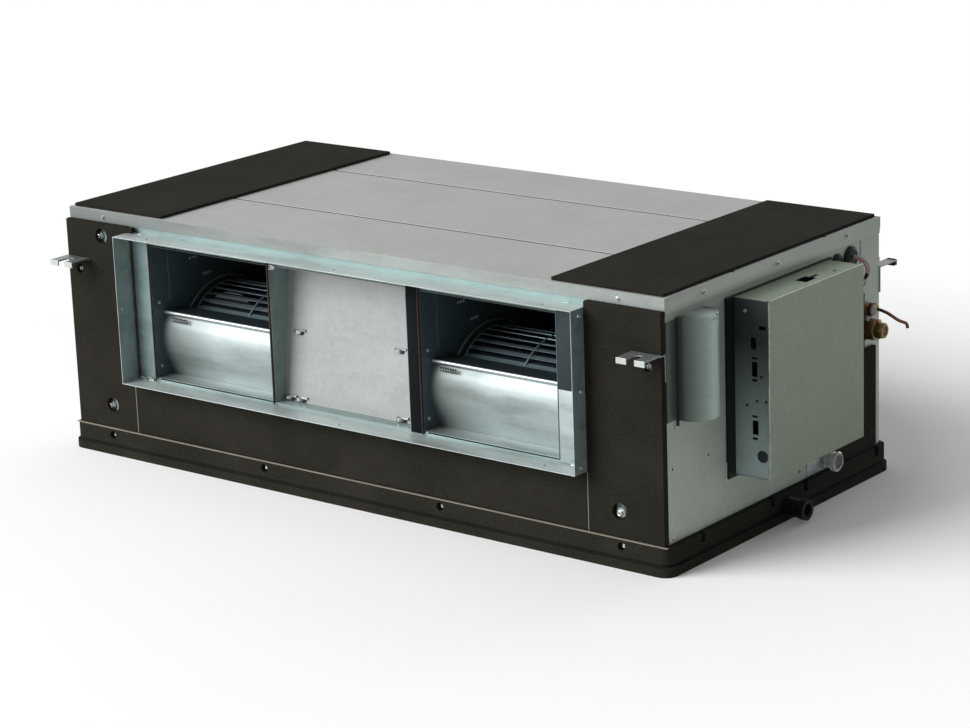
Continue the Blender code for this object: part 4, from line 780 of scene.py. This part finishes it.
# punched holes in the collar, side panel and electric box, read as shallow black discs (x, y, z, radius)
holes = {
    "collar_holes_top": ((0, 0, 1), [(x, y, 0.386, 0.0017) for x, y in
                                     ((-0.3998, -0.3195), (0.0008, -0.3201), (0.402, -0.3211))]),
    "collar_holes_floor": ((0, 0, 1), [(-0.0034, -0.3205, 0.1382, 0.0017), (0.3945, -0.3174, 0.1382, 0.0017)]),
    "side_holes": ((1, 0, 0), [(0.5985, -0.1887, 0.154, 0.0019), (0.5985, -0.2806, 0.1564, 0.0019),
                               (0.6048, 0.2617, 0.0727, 0.0019)]),
    "box_holes": ((0, -1, 0), [(x, -0.123, z, radius) for x, z, radius in
                               ((0.6496, 0.2635, 0.0026), (0.6244, 0.2172, 0.0023), (0.641, 0.2259, 0.0023),
                                (0.6575, 0.2263, 0.0023), (0.6505, 0.1417, 0.0095))]),
    "box_top_holes": ((0, 0, 1), [(0.6463, 0.0842, 0.3785, 0.003), (0.659, 0.011, 0.3785, 0.0018)]),
}
hole = {"depth": 0.00025, "sides": 18}
for name, (normal, spots) in holes.items():
    bm = bmesh.new()
    for *spot, radius in spots:
        disc(bm, spot, normal, radius, hole["depth"], hole["sides"])
    addPiece(name, bm, "hollowBlack")

# small screws on the electric box's end, the collar's ends, the capacitor's flange and the black plate's foot
smallScrews = {"front": [(0.6222, -0.123, 0.3606)], "frontRadius": 0.003, "radius": 0.0032,
               "side": [(-0.4618, -0.3246, 0.2628), (0.463, -0.3159, 0.3748), (0.463, -0.3149, 0.2608),
                        (0.463, -0.3185, 0.1453), (0.599, -0.271, 0.2165), (0.599, -0.1435, 0.1022)]}
bm = bmesh.new()
for spot in smallScrews["front"]:
    fastener(bm, "screw", spot, (0, -1, 0), smallScrews["frontRadius"])
for spot in smallScrews["side"]:
    fastener(bm, "screw", spot, (1, 0, 0), smallScrews["radius"])
addPiece("small_screws", bm, "screwSteel")

# the capacitor cover's side flange, its dark seam and the slits in its cap
can = {"flange": ((0.5988, 0.6002), (-0.2925, -0.269), (0.229, 0.378)), "edge": 0.0004,
       "seam": ((0.5989, 0.6026), (-0.2682, -0.2668), (0.219, 0.38)),
       "slits": [((0.6, 0.611), (-0.26, -0.2585), (0.381, 0.38125)),
                 ((0.6, 0.606), (-0.22, -0.2185), (0.381, 0.38125)),
                 ((0.637, 0.6405), (-0.2225, -0.2205), (0.3795, 0.38125))],
       "line": [(0, 0), (0.0352, 0), (0.0354, 0.0002), (0.0354, 0.0006), (0.0352, 0.0008), (0, 0.0008)],
       "lineAt": (0.6055, -0.23, 0.3745), "lineSides": 48, "panel": 0.599}
# the flange takes the cover's painted shade and is dark
bars("cover_flange", [can["flange"]], "canZinc", edge=can["edge"])
bars("cover_seam", [can["seam"]] + can["slits"], "hollowBlack")

# painted highlights: bright bars along the electric box's standing edge, the two on top and the one below
edgeHighlight = {"x": (0.6632, 0.66455), "y": (-0.12515, -0.124), "z": (0.108, 0.379), "top": (0.37985, 0.38055),
       "bottom": (0.107, 0.1078), "across": (0.605, 0.664), "outer": (0.664, 0.66455), "along": (-0.124, 0.137)}
bars("box_edge_highlights", [(edgeHighlight["x"], edgeHighlight["y"], edgeHighlight["z"]), (edgeHighlight["across"], edgeHighlight["y"], edgeHighlight["top"]),
                  (edgeHighlight["outer"], edgeHighlight["along"], edgeHighlight["top"]), (edgeHighlight["across"], edgeHighlight["y"], edgeHighlight["bottom"])], "screwSteel")

# the line under the capacitor cover's cap
bm = bmesh.new()
turnedForm(bm, can["line"], can["lineAt"], (0, 0, 1), can["lineSides"])
bmesh.ops.bisect_plane(bm, geom=bm.verts[:] + bm.edges[:] + bm.faces[:], plane_co=(can["panel"], 0, 0),
                       plane_no=(1, 0, 0), clear_inner=True)
bmesh.ops.holes_fill(bm, edges=[edge for edge in bm.edges if edge.is_boundary])
addPiece("cap_line", bm, "grooveGrey")

# the side panel's rear seam, the foot of the black plate behind the box, and the pale tab behind the clear stub
sideMarks = {"seam": ((0.5986, 0.599), (0.2366, 0.2374), (0.275, 0.387)),
             "foot": ((0.5986, 0.6006), (-0.144, -0.1428), (0.101, 0.13)), "footEdge": 0.0003,
             "tab": ((0.5988, 0.6), (0.077, 0.113), (0.047, 0.09)), "tabEdge": 0.0005}
bars("panel_seam", [sideMarks["seam"]], "grooveGrey")
bars("plate_edge", [sideMarks["foot"]], "ductZinc", edge=sideMarks["footEdge"])
bars("stub_tab", [sideMarks["tab"]], "ductZinc", edge=sideMarks["tabEdge"])

# screws in the tray's notches and in its round front pockets
trayScrews = {"side": (-0.2196, -0.0328, 0.0602, 0.2695), "sideX": 0.6003, "sideZ": 0.0355, "sideRadius": 0.0036,
              "front": (-0.52, -0.179, 0.184, 0.5257), "frontY": -0.3022, "frontZ": 0.0335, "frontRadius": 0.0045}
bm = bmesh.new()
for y in trayScrews["side"]:
    for side in (-1, 1):
        fastener(bm, "screw", (side * trayScrews["sideX"], y, trayScrews["sideZ"]), (side, 0, 0),
                 trayScrews["sideRadius"])
for x in trayScrews["front"]:
    fastener(bm, "bolt", (x, trayScrews["frontY"], trayScrews["frontZ"]), (0, -1, 0), trayScrews["frontRadius"])
addPiece("tray_screws", bm, "screwSteel")

# ribs round the drain spout, and black blocks on the rear prongs that paint their shadow
spout = {"at": (0.6095, 0.005, 0.0215), "rings": (0.004, 0.011, 0.018, 0.025), "sides": 28,
         "profile": [(0.0134, -0.0012), (0.0148, -0.0008), (0.0151, 0.0), (0.0148, 0.0008), (0.0134, 0.0012),
                     (0.0134, -0.0012)]}
bm = bmesh.new()
for step in spout["rings"]:
    turnedForm(bm, spout["profile"], Vector(spout["at"]) + Vector((step, 0, 0)), (1, 0, 0), spout["sides"])
addPiece("spout_ribs", bm, "blackPlastic")
prongs = {"places": (-0.591, -0.559, 0.559, 0.591), "half": 0.0075, "depth": (0.3405, 0.3468),
          "height": (0.324, 0.335), "edge": 0.0014}
bars("prong_shadows", [((x - prongs["half"], x + prongs["half"]), prongs["depth"], prongs["height"])
                    for x in prongs["places"]], "rubber", prongs["edge"])

# two leads arch out of the large grommet and drop behind the box in a black sleeve
leads = {
    "sensor_lead_fine": (0.002, "pinkLead", "lead_pink", [
        (0.5985, 0.206, 0.366), (0.609, 0.2065, 0.367), (0.62, 0.209, 0.364), (0.627, 0.211, 0.355),
        (0.627, 0.21, 0.344), (0.624, 0.203, 0.33), (0.623, 0.18, 0.322), (0.623, 0.1386, 0.32)]),
    "white_lead": (0.0021, "whiteLead", "capacitor_white", [
        (0.5985, 0.208, 0.369), (0.611, 0.209, 0.3695), (0.624, 0.212, 0.366), (0.631, 0.214, 0.356),
        (0.6305, 0.213, 0.344), (0.626, 0.205, 0.331), (0.625, 0.18, 0.324), (0.625, 0.1386, 0.322)]),
    "lead_sleeve": (0.0034, "rubber", "rubber", [
        (0.6275, 0.2105, 0.344), (0.6255, 0.2065, 0.333), (0.624, 0.198, 0.324), (0.6235, 0.18, 0.321),
        (0.6235, 0.1387, 0.32)]),
}
for name, (radius, look, slot, points) in leads.items():
    item = cordCurve(name, points, radius, look)
    if name == "sensor_lead_fine":
        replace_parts(item, "sensor_lead")

# the flare nut on the liquid port: a large hexagon, a smaller one with a bored end, and the rubber ring behind it
nut = {"at": (0.237, 0.248), "hexagons": ((0.6085, 0.63, 0.0185), (0.63, 0.6415, 0.014)), "turn": 0.35,
       "sides": 6, "edge": 0.0011, "bore": 0.0075, "end": 0.6411, "ringSides": 28,
       "ring": [(0.0075, 0), (0.011, 0), (0.0112, 0.0004), (0.0112, 0.0018), (0.0108, 0.0022), (0.0075, 0.0022),
                (0.0075, 0)],
       "hollow": {"x": 0.6416, "depth": 0.0006, "sides": 24},
       "grommet": [(0.01, 0), (0.0215, 0), (0.0225, 0.0012), (0.0225, 0.005), (0.0215, 0.0062), (0.01, 0.0062),
                   (0.01, 0)], "grommetX": 0.6, "grommetSides": 36}
bm = bmesh.new()
for low, high, radius in nut["hexagons"]:
    disc(bm, (low, *nut["at"]), (1, 0, 0), radius, high - low, nut["sides"], turn=nut["turn"])
softened(bm, nut["edge"])
turnedForm(bm, nut["ring"], (nut["end"], *nut["at"]), (1, 0, 0), nut["ringSides"])
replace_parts(addPiece("liquid_nut_fine", bm, "brass"), "liquid_nut")
bm = bmesh.new()
disc(bm, (nut["hollow"]["x"], *nut["at"]), (1, 0, 0), nut["bore"], nut["hollow"]["depth"], nut["hollow"]["sides"])
addPiece("nut_hollow", bm, "tarnishedCopper")
bm = bmesh.new()
turnedForm(bm, nut["grommet"], (nut["grommetX"], *nut["at"]), (1, 0, 0), nut["grommetSides"])
addPiece("nut_grommet", bm, "rubber")

# the service tube leaves its union, bends over the nut and turns down at its tip
tube = {"radius": 0.0026,
        "points": [(0.6172, 0.255, 0.276), (0.632, 0.255, 0.2745), (0.644, 0.257, 0.268),
                   (0.653, 0.262, 0.26), (0.66, 0.269, 0.2565), (0.6615, 0.2735, 0.2545),
                   (0.6615, 0.2745, 0.247)]}
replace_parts(cordCurve("service_tube_fine", tube["points"], tube["radius"], "tarnishedCopper"),
            "service_tube")

# the capped gas port with its dark ring, and the grey clamp under it
port = {"at": (0.21, 0.287), "sides": 28,
        "cap": {"x": 0.6268, "radius": 0.0088, "length": 0.0132, "edge": 0.0012, "segments": 3, "sharp": 1},
        "ring": [(0.0089, 0), (0.0099, 0), (0.0102, 0.0004), (0.0102, 0.003), (0.0099, 0.0034), (0.0089, 0.0034),
                 (0.0089, 0)], "ringX": 0.633,
        "clamp": {"at": (0.609, 0.21, 0.2745), "radius": 0.0062, "length": 0.021}}
cap, clamp = port["cap"], port["clamp"]
bm = bmesh.new()
disc(bm, (cap["x"], *port["at"]), (1, 0, 0), cap["radius"], cap["length"], port["sides"])
softened(bm, cap["edge"], cap["segments"], [edge for edge in bm.edges if edge.calc_face_angle(0) > cap["sharp"]])
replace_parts(addPiece("gas_cap_fine", bm, "capGrey"), "gas_cap")
bm = bmesh.new()
turnedForm(bm, port["ring"], (port["ringX"], *port["at"]), (1, 0, 0), port["sides"])
addPiece("gas_cap_ring", bm, "rubber")
bm = bmesh.new()
disc(bm, clamp["at"], (1, 0, 0), clamp["radius"], clamp["length"])
addPiece("gas_clamp", bm, "capGrey")

# a pale floor that fades out, two lamps, and a world that is white only where it is seen
stage = {"radius": 5.0, "sides": 96, "pale": (0.93, 0.93, 0.93), "roughness": 0.9, "shine": 0.1, "fade": (0.72, 1.45)}
floorFinish = Finish("paleFloor", stage["pale"], stage["roughness"], **{"Specular IOR Level": stage["shine"]})
away = floorFinish.node("ShaderNodeVectorMath", {"operation": "LENGTH"}, {0: floorFinish.where}, "Value")
floorFinish.feed("Alpha", floorFinish.spread(away, *stage["fade"], 1.0, 0.0))
bm = bmesh.new()
bmesh.ops.create_circle(bm, cap_ends=True, segments=stage["sides"], radius=stage["radius"])
floorMesh = bpy.data.meshes.new("floor")
bm.to_mesh(floorMesh)
bm.free()
floorMesh.materials.append(floorFinish.material)
linked("floor", floorMesh)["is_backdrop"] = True

lampAim = (0, 0, 0.15)
lamps = {
    "keyLamp": {"at": (-4.6, -6.6, 4.4), "size": 6.5, "power": 1230},
    "backLamp": {"at": (1.4, 7.0, 1.2), "size": 3.0, "power": 130},
}
for name, lamp in lamps.items():
    data = bpy.data.lights.new(name, "AREA")
    data.size, data.energy = lamp["size"], lamp["power"]
    linked(name, data).matrix_world = aimed(lamp["at"], lampAim)

studio = {"soft": (0.95, 0.98, 1.0, 1), "strength": 0.35, "white": (1, 1, 1, 1)}
world = bpy.data.worlds.new("studio")
bpy.context.scene.world = world
world.use_nodes = True
tree = world.node_tree
path = tree.nodes.new("ShaderNodeLightPath")
seen = path.outputs["Is Camera Ray"]
for ray in ("Is Glossy Ray", "Is Transmission Ray"):
    both = tree.nodes.new("ShaderNodeMath")
    both.operation = "MAXIMUM"
    tree.links.new(seen, both.inputs[0])
    tree.links.new(path.outputs[ray], both.inputs[1])
    seen = both.outputs[0]
soft, white = tree.nodes["Background"], tree.nodes.new("ShaderNodeBackground")
choose = tree.nodes.new("ShaderNodeMixShader")
soft.inputs["Color"].default_value = studio["soft"]
soft.inputs["Strength"].default_value = studio["strength"]
white.inputs["Color"].default_value = studio["white"]
tree.links.new(seen, choose.inputs[0])
tree.links.new(soft.outputs[0], choose.inputs[1])
tree.links.new(white.outputs[0], choose.inputs[2])
tree.links.new(choose.outputs[0], tree.nodes["World Output"].inputs["Surface"])
bpy.context.scene.view_settings.view_transform = "Standard"

low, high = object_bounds()
